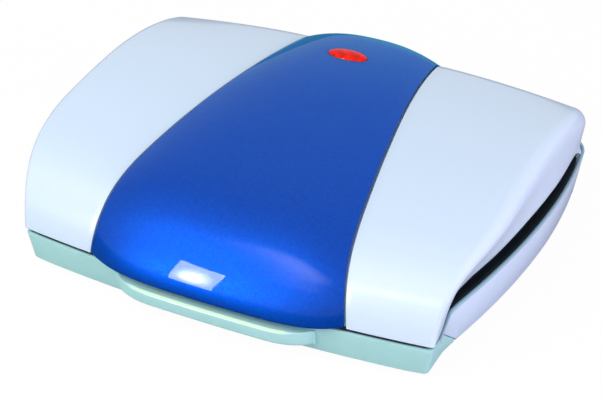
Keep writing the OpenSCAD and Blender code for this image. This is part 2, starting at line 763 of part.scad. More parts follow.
// Right half of one row of the lid shell, from the centre to the rim, at depth d
function lid_half(i, d) = let (
    p = lid_line[i],
    n = lid_normal[i],
    v = lid_way[i],
    r = crest_r(v),
    x0 = panel_x(v) + groove + d,
    x1 = crest_x(p[0]) - r,
    y_rim = mix(edge_start, edge_end,
        0.86 * limit(p[0] / lid_back) + 0.14 * i / (len(lid_line) - 1)),
    rim = [rim_x(y_rim) - d, y_rim, edge_z(y_rim)],
    sink = droop(x1, p),
    crest = [x1 + r - d, p[0] - n[0] * r, p[1] - n[1] * r - sink]
) join([
    [for (f = [0, 0.5]) let (x = x0 * f) lid_point(x, p, n, d + seat)],
    [lid_point(x0, p, n, d + seat), lid_point(x0, p, n, d)],
    [for (f = [0.33, 0.67, 1]) lid_point(mix(x0, x1, f), p, n, d)],
    [for (a = [30, 60, 88]) let (q = r - d)
        [x1 + q * sin(a), p[0] - n[0] * (r - q * cos(a)) + lid_bow(x1, p[0]),
            p[1] - n[1] * (r - q * cos(a)) - sink]],
    [for (f = [0.33, 0.67, 1]) mix(crest, rim, f)]
]);
function lid_point(x, p, n, d) = [x, p[0] - n[0] * d + lid_bow(x, p[0]), p[1] - n[1] * d - droop(x, p)];
// The wings sink towards the rear corners
droop_x = panel_back_w / 2;
droop_l = 85;
droop_y = lid_back - droop_l;
function droop(x, p) = rear_droop * pow(limit((abs(x) - droop_x) / (crest_hw - droop_x)), 1.8)
    * pow(limit((p[0] - droop_y) / droop_l), 2) * limit((p[1] - lid_back_z) / (roll_z - lid_back_z));
function full_row(half) = concat(
    [for (j = [len(half) - 1 : -1 : 1]) [-half[j][0], half[j][1], half[j][2]]], half);
module lid_shell() {
    outer = [for (i = [0 : len(lid_line) - 1]) full_row(lid_half(i, 0))];
    inner = [for (i = [0 : len(lid_line) - 1]) full_row(lid_half(i, wall))];
    color("white") in_place() sheet(outer, inner);
}

// ---- Coloured panel over the middle of the lid ----
panel_low = -1.5;
panel_line = profile(panel_low, lid_back_z + 3);
panel_normal = normals(panel_line);
panel_way = part_way(panel_line);
nose_bulge = 6.5;
nose_lift = 4;
nose_dip = 3.4;
nose_dip_v = 0.2;
function crown(v) = mix(nose_bulge, panel_crown, ease(v / 0.2)) * (1 - 0.6 * ease((v - 0.82) / 0.18))
    - nose_dip * pow(sin(180 * limit(v / nose_dip_v)), 2);
function crown_power(v) = mix(5, 2.4, ease(v / 0.5));
function panel_rise(v, t) = 0.3 + crown(v) * (1 - pow(abs(t), crown_power(v)));
panel_ts = [for (j = [-9 : 9]) sin(10 * j)];
function panel_point(i, t, d) = let (
    p = panel_line[i],
    n = panel_normal[i],
    v = panel_way[i],
    x = t * (panel_x(v) - d * 0.5),
    h = panel_rise(v, t) - d,
    lift = nose_lift * pow(abs(t), 6) * (1 - limit(v / 0.08))
) [x, p[0] + n[0] * h + lid_bow(x, p[0]), p[1] + n[1] * h + lift];
lamp_z = max([for (i = [0 : len(lid_line) - 1]) lid_line[i][1]]) + panel_crown;
module oval(l, w, h) {
    linear_extrude(h) polygon([for (a = [0 : 15 : 345]) [l / 2 * cos(a), w / 2 * sin(a)]]);
}
module lid_center_panel() {
    outer = [for (i = [0 : len(panel_line) - 1]) [for (t = panel_ts) panel_point(i, t, 0)]];
    inner = [for (i = [0 : len(panel_line) - 1]) [for (t = panel_ts) panel_point(i, t, panel_t)]];
    color("royalblue") in_place() difference() {
        sheet(outer, inner);
        translate([0, lamp_y, lens_low - panel_crown]) oval(lamp_l, lamp_w, 2 * panel_crown);
    }
}

// ---- Pilot lamp ----
lens_step = 0.6;
lens_top = 0.7;
lens_low = lamp_z - panel_t - 2;
module lamp_lens() {
    color("red") in_place() translate([0, lamp_y, 0]) hull() {
        translate([0, 0, lens_low])
            oval(lamp_l - 2 * fit, lamp_w - 2 * fit, lamp_z - lens_low - lens_step);
        translate([0, 0, lamp_z - lens_step]) oval(lamp_l * 0.86, lamp_w * 0.82, 2 * lens_step);
        translate([0, 0, lamp_z + lens_step]) oval(lamp_l * 0.55, lamp_w * 0.5, lens_top);
    }
}
holder_z = lamp_z - panel_crown - seat + seat_gap;
holder_t = 0.8;
holder_lip = 1.5;
holder_in = 1;
module lamp_holder() {
    h = lens_low - holder_z;
    out = 2 * holder_lip;
    color("dimgray") in_place() translate([0, lamp_y, holder_z]) difference() {
        translate([-(lamp_l + out) / 2, -(lamp_w + out) / 2, 0]) cube([lamp_l + out, lamp_w + out, h]);
        translate([holder_in - lamp_l / 2, holder_in - lamp_w / 2, holder_t])
            cube([lamp_l - 2 * holder_in, lamp_w - 2 * holder_in, h]);
    }
}
neon_l = 12;
neon_d = 3;
module neon_lamp() {
    color("orange") in_place() translate([-neon_l / 2, lamp_y, holder_z + holder_t + neon_d / 2])
        rotate([0, 90, 0]) cylinder(h = neon_l, d = neon_d, $fn = 32);
}

// ---- Posts that hang the upper plate in the lid ----
post_d = 7;
// Inner side of the lid's top, as pairs of distance and height
ceiling = [for (i = [0 : nose_n + top_n]) lid_line[i] - wall * lid_normal[i]];
function ceiling_z(x, y) = let (z = lookup(y - lid_bow(x, y), ceiling)) z - droop(x, [y, z]);
module upper_posts() {
    color("silver") in_place() for (p = screw_pts) let (z = upper_z + plate_t,
        top = min(ceiling_z(abs(p[0]) + post_d / 2, p[1] - post_d / 2),
            ceiling_z(abs(p[0]) + post_d / 2, p[1] + post_d / 2)))
        translate([p[0], p[1], z]) cylinder(h = top - z - fit, d = post_d, $fn = 48);
}

base_shell();
base_bezel();
front_handle();
base_floor();
foot_front_left();
foot_front_right();
foot_rear_left();
foot_rear_right();
floor_screws();
rear_deck();
plate_pillars();
lower_plate();
lower_heater();
lower_heater_clips();
lower_reflector();
thermostat();
terminal_block();
cord_gland();
cord_clamp();
base_hinge_left();
base_hinge_right();
hinge_pin_left();
hinge_pin_right();
lid_hinge_left();
lid_hinge_right();
lid_shell();
lid_center_panel();
lamp_lens();
lamp_holder();
neon_lamp();
upper_plate();
upper_posts();
upper_heater();
upper_heater_clips();
upper_reflector();
thermal_fuse();
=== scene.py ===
"""Looks of a two-slice sandwich toaster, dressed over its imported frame.

Lengths inside the classes are millimetres in the housing frame: x from the centre line, y from the
front corners towards the hinges, z from the front parting line. Form.place turns a point into the
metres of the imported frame.
"""

import logging
import math
from contextlib import contextmanager
from dataclasses import dataclass
from enum import Enum
from typing import Callable, Iterator, Optional, Sequence

import bpy
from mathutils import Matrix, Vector

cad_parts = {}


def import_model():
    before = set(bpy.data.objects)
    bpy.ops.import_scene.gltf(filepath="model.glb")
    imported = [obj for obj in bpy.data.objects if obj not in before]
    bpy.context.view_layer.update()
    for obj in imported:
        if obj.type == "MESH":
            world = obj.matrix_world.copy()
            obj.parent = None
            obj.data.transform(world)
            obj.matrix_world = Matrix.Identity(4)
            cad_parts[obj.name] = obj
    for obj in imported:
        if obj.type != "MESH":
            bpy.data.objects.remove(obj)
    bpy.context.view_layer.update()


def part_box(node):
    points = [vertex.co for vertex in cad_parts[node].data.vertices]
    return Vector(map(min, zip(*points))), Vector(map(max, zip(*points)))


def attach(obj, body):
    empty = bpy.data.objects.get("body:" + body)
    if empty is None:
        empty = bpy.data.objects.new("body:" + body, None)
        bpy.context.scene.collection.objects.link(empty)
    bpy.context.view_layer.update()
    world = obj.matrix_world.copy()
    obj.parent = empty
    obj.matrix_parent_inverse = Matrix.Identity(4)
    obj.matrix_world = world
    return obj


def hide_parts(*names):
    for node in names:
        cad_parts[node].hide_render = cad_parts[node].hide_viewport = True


LOG = logging.getLogger("toaster")
MM = 0.001

Flat = tuple[float, float]
Point = tuple[float, float, float]
Corner = tuple[float, float, float]
Color = tuple[float, float, float]
Span = tuple[float, float]
Key = int | str
Rows = list[list[Vector]]
Section = Callable[[float], list[Corner]]
Obj = bpy.types.Object
Socket = bpy.types.NodeSocket
Material = bpy.types.Material


class Body(Enum):
    """The two rigid bodies that the hinge joins."""

    BASE = "base"
    LID = "lid"


def mix(a: float, b: float, t: float) -> float:
    """Return the value a share t of the way from a to b."""
    return a + (b - a) * t


def limit(t: float) -> float:
    """Return t held between 0 and 1."""
    return min(1.0, max(0.0, t))


def ease(t: float) -> float:
    """Return a smooth step from 0 to 1."""
    u = limit(t)
    return u * u * (3 - 2 * u)


def over(y: float, span: Span) -> float:
    """Return a smooth step from 0 to 1 over a span, given by its start and its length."""
    return ease((y - span[0]) / span[1])


def bezier(ends: Sequence[Sequence[float]], t: float) -> tuple[float, ...]:
    """Return a point on a cubic curve.

    Args:
        ends: the four control points, each with the same number of coordinates.
        t: place along the curve, from 0 to 1.

    Returns:
        The point's coordinates.
    """
    s = 1 - t
    weights = (s**3, 3 * t * s * s, 3 * t * t * s, t**3)
    return tuple(sum(w * p[i] for w, p in zip(weights, ends)) for i in range(len(ends[0])))


def steps(count: int) -> list[float]:
    """Return count equal steps from 0 up to, and without, 1."""
    return [i / count for i in range(count)]


@dataclass(frozen=True)
class Form:
    """Curves of the housing: its plan, its rim and edge lines, and its lid's side profile."""

    mid_y: float
    body_w: float = 263.0
    front_w: float = 232.0
    body_d: float = 203.0
    split_h: float = 21.5
    lid_h: float = 51.3
    foot_h: float = 4.0
    lean: float = math.tan(math.radians(9))
    front_lean: float = math.tan(math.radians(6))
    # Plan
    front_bow: float = 7.5
    corner_r: float = 3.0
    rear_r: float = 18.0
    miter_l: float = 10.0
    flare_y: float = 20.0
    flare_ease: float = 0.06
    wide_back: float = 70.0
    tail_in: float = 4.4
    tail_l: float = 58.0
    # Rim of the base, and the seam under its bright band
    lip_z: float = -1.0
    step: Span = (10.0, 11.0)
    side_rise: float = 10.5
    trim_h: float = 2.1
    tongue_y: float = 15.0
    seam_y: float = 32.0
    seam_drop: float = 1.0
    seam_low: float = 1.6
    # Side edge of the lid
    side_gap: float = 7.0
    edge_low: float = 1.0
    edge_climb: Span = (4.0, 26.0)
    edge_lift: float = 1.8
    lift: Span = (55.0, 50.0)
    edge_arch: float = 1.5
    arch: Span = (26.0, 16.0)
    fall_y: float = 150.0
    edge_stop: float = 9.0
    # Profile of the lid
    nose_d: float = 38.0
    nose_drop: float = 9.3
    back_l: float = 16.0
    back_drop: float = 4.8
    roll_drop: float = 21.0
    lid_short: float = 7.0
    back_gap: float = 1.7
    rear_droop: float = 10.0
    droop_l: float = 85.0
    bow_l: float = 90.0
    # Coloured panel
    panel_front_w: float = 144.0
    panel_back_w: float = 79.0
    panel_crown: float = 7.5
    nose_bulge: float = 6.5
    nose_dip: float = 3.4
    nose_way: float = 0.2
    rear_way: float = 0.82
    rear_fade: float = 0.6

    @property
    def base_z(self) -> float:
        """Underside of the base."""
        return self.foot_h - self.split_h

    @property
    def front_hw(self) -> float:
        """Half width across the front corners."""
        return self.front_w / 2

    @property
    def wide_hw(self) -> float:
        """Half width at the parting line, where the base is widest."""
        return self.body_w / 2 - self.lean * self.side_rise

    @property
    def crest_hw(self) -> float:
        """Half width of the lid's crest, where it is widest."""
        return self.wide_hw + 0.2

    @property
    def lid_back(self) -> float:
        """Back wall of the lid."""
        return self.body_d - self.lid_short

    @property
    def lid_back_z(self) -> float:
        """Lower edge of the lid's back wall."""
        return self.side_rise + self.back_gap

    @property
    def roll_z(self) -> float:
        """Height at which the lid's rear roll ends in its back wall."""
        return self.lid_h - self.roll_drop

    @property
    def edge_end(self) -> float:
        """Rear end of the lid's side edge."""
        return self.lid_back - self.edge_stop

    def place(self, p: Point) -> Vector:
        """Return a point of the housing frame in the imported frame, in metres."""
        return Vector((p[0], p[1] - self.mid_y, p[2] + self.split_h)) * MM

    def housing(self, point: Vector) -> Point:
        """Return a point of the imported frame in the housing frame, in millimetres."""
        x, y, z = point / MM
        return (x, y + self.mid_y, z - self.split_h)

    def side_x(self, y: float) -> float:
        """Return the half width of the base at the parting line."""
        wide_y = self.body_d - self.wide_back
        t = limit((y - self.flare_y) / (wide_y - self.flare_y))
        s = t * t / (t + self.flare_ease)
        flare = 1 - (1 - s) ** 2
        draw_in = self.tail_in * (max(0.0, y - wide_y) / self.tail_l) ** 2
        return self.front_hw + (self.wide_hw - self.front_hw) * flare - draw_in

    def bow(self, x: float) -> float:
        """Return how far forward the front wall bows at x, as a negative y."""
        return -self.front_bow * (1 - (x / self.front_hw) ** 2)

    def rim_z(self, y: float) -> float:
        """Return the height of the base's rim, which steps up behind the front corners."""
        return mix(self.lip_z, self.side_rise, over(y, self.step))

    def edge_z(self, y: float) -> float:
        """Return the height of the lid's lower edge along the sides."""
        top = self.side_rise + self.side_gap
        rise = mix(self.edge_low, top, over(y, self.edge_climb))
        rise += self.edge_lift * over(y, self.lift)
        rise += self.edge_arch * over(y, self.arch)
        fall = over(y, (self.fall_y, self.edge_end - self.fall_y)) ** 3
        return rise - (top + self.edge_lift + self.edge_arch - self.lid_back_z) * fall

    def band_h(self, y: float) -> float:
        """Return the rim band's height, which grows where the rim climbs."""
        return self.trim_h * math.hypot(1, self.rim_z(y + 0.5) - self.rim_z(y - 0.5))

    def seam_z(self, y: float) -> float:
        """Return the height of the slanting seam between the bright front and the white side."""
        start = self.rim_z(self.tongue_y) - self.band_h(self.tongue_y) - self.seam_drop
        t = (y - self.tongue_y) / (self.seam_y - self.tongue_y)
        return mix(start, self.base_z + self.seam_low, t)

    @staticmethod
    def corner(x: float, y: float, r: float, degrees: Sequence[int]) -> list[Flat]:
        """Return points at some angles on a corner's arc about x and y."""
        turns = [math.radians(a) for a in degrees]
        return [(x + r * math.cos(a), y + r * math.sin(a)) for a in turns]

    def plan(self) -> list[Flat]:
        """Return the plan outline from the back centre, round the left side and the front."""
        front_x = self.front_hw - self.corner_r
        turn = math.atan(2 * self.front_bow * front_x / self.front_hw**2)
        corner_y = self.bow(front_x) + self.corner_r * math.cos(turn)
        rear_y = self.body_d - self.rear_r
        half = [(front_x * t, self.bow(front_x * t)) for t in steps(30)]
        half.append((front_x, self.bow(front_x)))
        half += self.corner(front_x, corner_y, self.corner_r, range(-70, -9, 12))
        ys = [mix(corner_y + 1, self.tongue_y - 0.6, t) for t in steps(8)]
        ys += [self.tongue_y - 0.6, self.tongue_y - 0.4]
        ys += [mix(self.tongue_y, self.seam_y - 1.1, t) for t in steps(18)]
        ys += [self.seam_y + d for d in (-1.1, -0.9, -0.4, 0.3, 0.9, 1.1)]
        ys += [mix(self.seam_y + 2, rear_y, t) for t in steps(44)]
        half += [(self.side_x(y), y) for y in ys]
        corner_x = self.side_x(rear_y) - self.rear_r
        half += self.corner(corner_x, rear_y, self.rear_r, range(0, 90, 6))
        half += [(corner_x * (1 - t), self.body_d) for t in steps(12)]
        half.append((0.0, self.body_d))
        left = [(-x, y) for x, y in reversed(half[1:])]
        return left + half[:-1]

    def outward(self, plan: Sequence[Flat], k: int) -> Flat:
        """Return the outward direction at a station, mitred close to the front corners.

        Args:
            plan: the closed outline.
            k: index of the station.

        Returns:
            The x and y by which the surface moves out for each millimetre.
        """
        x, y = plan[k]
        front_x = self.front_hw - self.corner_r
        side = math.copysign(1.0, x) if x else 0.0
        if y > self.tongue_y:
            ax, ay = plan[k - 1]
            bx, by = plan[(k + 1) % len(plan)]
            length = math.hypot(bx - ax, by - ay)
            return ((by - ay) / length, (ax - bx) / length)
        if abs(x) <= front_x:
            return (side * limit(1 - (front_x - abs(x)) / self.miter_l), -1.0)
        corner_y = self.bow(front_x) + self.corner_r
        return (side, -limit(1 - (y - corner_y) / self.miter_l))

    def base_point(self, plan: Sequence[Flat], k: int, depth: float, z: float) -> Point:
        """Return a point of the base at station k, some depth under its leaning surface."""
        ox, oy = self.outward(plan, k)
        x, y = plan[k]
        return (x + ox * (self.lean * z - depth), y + oy * (self.front_lean * z - depth), z)

    def profile(self, low: float, high: float, fine: int) -> list[Flat]:
        """Return the lid's side profile as y and z, from the nose over the top to the back.

        Args:
            low: height of the nose's lower edge.
            high: height of the back wall's lower edge.
            fine: points for each of the profile's 34 spans.

        Returns:
            34 * fine + 1 points.
        """
        nose_d, nose_h = self.nose_d, self.lid_h - self.nose_drop
        back_y, back_z = self.lid_back - self.back_l, self.lid_h - self.back_drop
        nose = ((0, low), (3.4, nose_h * 0.6), (14.7, nose_h - 5.8), (nose_d, nose_h))
        top_y, top_z = mix(nose_d, back_y, 0.69), back_z + 8.5
        top = ((nose_d, nose_h), (81.6, nose_h + 10.8), (top_y, top_z), (back_y, back_z))
        roll = (
            (back_y, back_z), (back_y + 7, back_z - 1.4),
            (self.lid_back, self.roll_z + 9), (self.lid_back, self.roll_z),
        )
        line = [bezier(nose, t) for t in steps(13 * fine)]
        line += [bezier(top, t) for t in steps(13 * fine)]
        line += [bezier(roll, t) for t in steps(6 * fine)]
        line += [(self.lid_back, mix(self.roll_z, high, t)) for t in steps(2 * fine)]
        return [(p[0], p[1]) for p in line] + [(self.lid_back, high)]

    def lid_bow(self, x: float, y: float) -> float:
        """Return the front wall's bow, faded out over the lid's top."""
        return self.bow(x) * (1 - limit(y / self.bow_l))

    def droop(self, x: float, y: float, z: float) -> float:
        """Return how far the wings sink towards the rear corners."""
        inner = self.panel_back_w / 2
        across = limit((abs(x) - inner) / (self.crest_hw - inner))
        along = limit((y - self.lid_back + self.droop_l) / self.droop_l)
        up = limit((z - self.lid_back_z) / (self.roll_z - self.lid_back_z))
        return self.rear_droop * across**1.8 * along**2 * up

    def panel_x(self, way: float) -> float:
        """Return the coloured panel's half width, a share of the way along the profile."""
        front, back = self.panel_front_w, self.panel_back_w
        widths = (front, mix(back, front, 0.72), mix(back, front, 0.154), back)
        return bezier([(w / 2,) for w in widths], limit(way / 0.86))[0]

    def crown(self, way: float) -> float:
        """Return how far the panel rises over the wings at its middle."""
        nose = limit(way / self.nose_way)
        rise = mix(self.nose_bulge, self.panel_crown, ease(nose))
        rise *= 1 - self.rear_fade * over(way, (self.rear_way, 1 - self.rear_way))
        return rise - self.nose_dip * math.sin(math.pi * nose) ** 2


@dataclass(frozen=True)
class Line:
    """A side profile with its normals and how far along it each point lies."""

    points: list[Flat]
    normals: list[Flat]
    way: list[float]

    @classmethod
    def along(cls, points: list[Flat]) -> "Line":
        """Return the line through points, with normals that face out of the lid."""
        last = len(points) - 1
        normals: list[Flat] = []
        for i in range(last + 1):
            a, b = points[max(0, i - 1)], points[min(last, i + 1)]
            length = math.hypot(b[0] - a[0], b[1] - a[1])
            normals.append(((a[1] - b[1]) / length, (b[0] - a[0]) / length))
        run = [0.0]
        for a, b in zip(points, points[1:]):
            run.append(run[-1] + math.hypot(b[0] - a[0], b[1] - a[1]))
        return cls(points, normals, [s / run[-1] for s in run])


# ---- Modelling tools ----


def deselect() -> None:
    """Select nothing."""
    bpy.ops.object.select_all(action="DESELECT")


def focus(obj: Obj) -> None:
    """Select one object alone and make it the active one."""
    deselect()
    obj.select_set(True)
    bpy.context.view_layer.objects.active = obj


@contextmanager
def editing(obj: Obj) -> Iterator[None]:
    """Hold an object in edit mode, with all of its mesh selected."""
    focus(obj)
    bpy.ops.object.mode_set(mode="EDIT")
    bpy.ops.mesh.select_all(action="SELECT")
    yield
    bpy.ops.object.mode_set(mode="OBJECT")


def merge_doubles(obj: Obj, distance: float = 1e-6) -> None:
    """Merge points that lie within a distance in metres."""
    with editing(obj):
        bpy.ops.mesh.remove_doubles(threshold=distance)


def loft(
    name: str, rows: Rows, close_rows: bool = False, close_columns: bool = False,
    marked: Sequence[int] = (),
) -> Obj:
    """Shape a grid primitive onto rows of points.

    Args:
        name: the new object's name.
        rows: equal rows of points, in metres.
        close_rows: True joins the last row to the first.
        close_columns: True joins each row's last point to its first.
        marked: columns of faces that take the object's second material.

    Returns:
        The object, whose faces point to the left of a row seen along the rows.
    """
    grid = [list(row) + ([row[0]] if close_columns else []) for row in rows]
    if close_rows:
        grid.append(list(grid[0]))
    across, along = len(grid[0]) - 1, len(grid) - 1
    deselect()
    bpy.ops.mesh.primitive_grid_add(x_subdivisions=across, y_subdivisions=along, size=2)
    obj = bpy.context.object
    obj.name = obj.data.name = name
    for face in obj.data.polygons:
        if math.floor((face.center.x + 1) / 2 * across) in marked:
            face.material_index = 1
    for vertex in obj.data.vertices:
        column = round((vertex.co.x + 1) / 2 * across)
        row = round((vertex.co.y + 1) / 2 * along)
        vertex.co = grid[row][column]
    merge_doubles(obj)
    return obj


def apply_modifier(obj: Obj, kind: str, **settings: object) -> None:
    """Add a modifier, give it its settings, and apply it."""
    focus(obj)
    modifier = obj.modifiers.new(kind.title(), kind)
    for key, value in settings.items():
        setattr(modifier, key, value)
    bpy.ops.object.modifier_apply(modifier=modifier.name)


def soften(obj: Obj, width: float, segments: int, angle: float) -> None:
    """Round the edges that turn by more than an angle, by a width in millimetres."""
    apply_modifier(
        obj, "BEVEL", width=width * MM, segments=segments, limit_method="ANGLE",
        angle_limit=math.radians(angle), use_clamp_overlap=True, miter_outer="MITER_ARC",
    )


def thicken(obj: Obj, wall: float) -> None:
    """Give a surface a wall in millimetres, on its inner side."""
    apply_modifier(obj, "SOLIDIFY", thickness=wall * MM, offset=-1.0, use_even_offset=False)


def smooth(obj: Obj, angle: float) -> None:
    """Shade an object smooth, apart from its sharp edges."""
    focus(obj)
    bpy.ops.object.shade_smooth_by_angle(angle=math.radians(angle))


def face_outwards(obj: Obj) -> None:
    """Turn all faces of a closed form outwards."""
    with editing(obj):
        bpy.ops.mesh.normals_make_consistent(inside=False)


def close_holes(obj: Obj) -> None:
    """Fill each open border with one face, and turn all faces outwards."""
    with editing(obj):
        bpy.ops.mesh.select_all(action="DESELECT")
        bpy.ops.mesh.select_mode(type="EDGE")
        bpy.ops.mesh.select_non_manifold()
        bpy.ops.mesh.edge_face_add()
    face_outwards(obj)


def cut(obj: Obj, size: Point) -> None:
    """Bring the primitive just added to a size in metres, and cut it out of an object."""
    cutter = bpy.context.object
    cutter.scale = size
    focus(cutter)
    bpy.ops.object.transform_apply(location=True, rotation=True, scale=True)
    apply_modifier(obj, "BOOLEAN", operation="DIFFERENCE", object=cutter, solver="EXACT")
    bpy.data.objects.remove(cutter, do_unlink=True)


def rounded(corners: Sequence[Corner]) -> list[Flat]:
    """Return a closed outline with each corner turned by three points.

    Args:
        corners: each corner's depth, height and radius.

    Returns:
        Three points for each corner.
    """
    out: list[Flat] = []
    for i, (x, z, r) in enumerate(corners):
        ends: list[Flat] = []
        for other in (corners[i - 1], corners[(i + 1) % len(corners)]):
            dx, dz = other[0] - x, other[1] - z
            length = math.hypot(dx, dz)
            share = min(r / length, 0.45) if length > 1e-6 else 0.0
            ends.append((x + dx * share, z + dz * share))
        (ax, az), (bx, bz) = ends
        out += [(ax, az), ((ax + bx) / 4 + x / 2, (az + bz) / 4 + z / 2), (bx, bz)]
    return out


def node_copy(node: str) -> Obj:
    """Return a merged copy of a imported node's mesh, with its flat faces whole."""
    mesh = bpy.data.objects[node].data.copy()
    mesh.name = node + "_rounded"
    mesh.materials.clear()
    obj = bpy.data.objects.new(mesh.name, mesh)
    bpy.context.scene.collection.objects.link(obj)
    merge_doubles(obj, 1e-5)
    with editing(obj):
        bpy.ops.mesh.dissolve_limited(angle_limit=math.radians(0.5))
    return obj


# ---- Finishes ----


class Graph:
    """An owner's node tree, with a short way to add a node and wire it up."""

    def __init__(self, owner: bpy.types.ID) -> None:
        """Turn the owner's nodes on and hold them."""
        owner.use_nodes = True
        self.nodes, self.links = owner.node_tree.nodes, owner.node_tree.links

    def put(self, socket: Socket, value: object) -> None:
        """Link an input to another node's output, or give it a value."""
        if isinstance(value, Socket):
            self.links.new(value, socket)
        else:
            socket.default_value = value

    def add(
        self, kind: str, inputs: Optional[dict] = None, out: Key = 0, **settings: object
    ) -> Socket:
        """Add a node.

        Args:
            kind: the node's type, without its prefix.
            inputs: an output to link or a value, for each input's name or place.
            out: name or place of the output to return.
            settings: the node's own attributes.

        Returns:
            The node's output.
        """
        node = self.nodes.new("ShaderNode" + kind)
        for key, value in settings.items():
            setattr(node, key, value)
        for key, value in (inputs or {}).items():
            self.put(node.inputs[key], value)
        return node.outputs[out]


class Sheet(Graph):
    """A material's nodes, with its shader and its object coordinates at hand."""

    SPREAD = (0.3, 0.7)  # where most of a noise's values lie

    def __init__(self, name: str) -> None:
        """Start a material with one Principled shader."""
        self.material = bpy.data.materials.new(name)
        super().__init__(self.material)
        self.shader = self.nodes["Principled BSDF"]
        self.place = self.add("TexCoord", out="Object")

    def set(self, **values: object) -> None:
        """Set or link the shader's own sockets, named in lower case with underscores."""
        for key, value in values.items():
            name = key.replace("_", " ").title().replace("Ior", "IOR")
            self.put(self.shader.inputs[name], value)

    def noise(self, scale: float, detail: float = 2.0, stretch: Optional[Color] = None) -> Socket:
        """Return noise with a number of features to the metre, stretched on some axes."""
        place = self.place
        if stretch:
            place = self.add("Mapping", {"Vector": place, "Scale": stretch})
        return self.add("TexNoise", {"Vector": place, "Scale": scale, "Detail": detail}, "Fac")

    def ramp(self, value: Socket, low: float, high: float) -> Socket:
        """Return a value, which varies over the spread, brought between low and high."""
        start, end = self.SPREAD
        inputs = {"Value": value, "From Min": start, "From Max": end, "To Min": low, "To Max": high}
        return self.add("MapRange", inputs)

    def drift(self, scale: float) -> Socket:
        """Return soft patches from 0 to 1, with a number of them to the metre."""
        return self.ramp(self.noise(scale), 0.0, 1.0)

    def blend(self, value: Socket, a: Color, b: Color) -> Socket:
        """Return a colour that goes from a to b as the value goes from 0 to 1."""
        inputs = {"Factor": value, "A": (*a, 1.0), "B": (*b, 1.0)}
        return self.add("Mix", inputs, "Result", data_type="RGBA")

    def bump(self, height: Socket, depth: float) -> None:
        """Raise the surface by a height times a depth in millimetres."""
        inputs = {"Height": height, "Strength": 1.0, "Distance": depth * MM}
        self.set(normal=self.add("Bump", inputs))


@dataclass(frozen=True)
class Grained:
    """A finish with a slight colour drift, a fine grain, and an even gloss."""

    name: str
    color: Color
    shade: Color
    roughness: float
    rough_drift: float
    grain: float
    depth: float
    metallic: float = 0.0
    specular: float = 0.5
    stretch: Optional[Color] = None
    drift: float = 60.0

    def build(self) -> Material:
        """Return the material."""
        sheet = Sheet(self.name)
        fine = sheet.noise(self.grain, 3.0, self.stretch)
        low, high = self.roughness - self.rough_drift, self.roughness + self.rough_drift
        sheet.set(
            base_color=sheet.blend(sheet.drift(self.drift), self.color, self.shade),
            roughness=sheet.ramp(fine, low, high), metallic=self.metallic,
            specular_ior_level=self.specular,
        )
        sheet.bump(fine, self.depth)
        return sheet.material


@dataclass(frozen=True)
class Flaked:
    """A lacquer with small bright flakes under a clear coat."""

    name: str
    color: Color
    flake: Color
    metallic: float
    roughness: float
    coat: float
    coat_roughness: float
    cell: float
    sparkle: float
    depth: float
    rough_drift: float = 0.06
    specular: float = 0.5
    edge: Color = (1.0, 1.0, 1.0)
    sheen: float = 0.0
    sheen_roughness: float = 0.4
    sheen_tint: Color = (1.0, 1.0, 1.0)

    def build(self) -> Material:
        """Return the material."""
        sheet = Sheet(self.name)
        cells = sheet.add("TexVoronoi", {"Vector": sheet.place, "Scale": self.cell}, "Color")
        split = sheet.add("SeparateColor", {"Color": cells}).node.outputs
        share = sheet.add("Math", {0: split["Red"], 1: self.sparkle}, operation="MULTIPLY")
        low, high = self.roughness - self.rough_drift, self.roughness + self.rough_drift
        sheet.set(
            base_color=sheet.blend(share, self.color, self.flake),
            metallic=self.metallic, roughness=sheet.ramp(split["Green"], low, high),
            coat_weight=self.coat, coat_roughness=self.coat_roughness,
            specular_ior_level=self.specular, specular_tint=(*self.edge, 1.0),
            sheen_weight=self.sheen, sheen_roughness=self.sheen_roughness,
            sheen_tint=(*self.sheen_tint, 1.0),
        )
        sheet.bump(split["Blue"], self.depth)
        return sheet.material


@dataclass(frozen=True)
class RedLens:
    """Clear red plastic, which takes its colour in depth, with a faint painted glow."""

    name: str = "red_lens_plastic"
    color: Color = (0.84, 0.010, 0.003)
    depth_share: float = 0.55
    transmission: float = 0.1
    roughness: float = 0.12
    # Painted light: strength of a faint red emission that brightens the lens, though the pilot lamp
    # is not lit.
    glow: float = 0.05

    def build(self) -> Material:
        """Return the material."""
        sheet = Sheet(self.name)
        low, high = self.roughness - 0.03, self.roughness + 0.05
        deep = tuple(c * self.depth_share for c in self.color)
        sheet.set(
            base_color=sheet.blend(sheet.drift(260.0), self.color, deep),
            ior=1.49, specular_ior_level=0.1,
            roughness=sheet.ramp(sheet.noise(900.0), low, high),
            transmission_weight=self.transmission, emission_strength=self.glow,
            emission_color=(1.0, 0.05, 0.01, 1.0),
        )
        sheet.bump(sheet.noise(500.0, 1.0), 0.05)
        return sheet.material


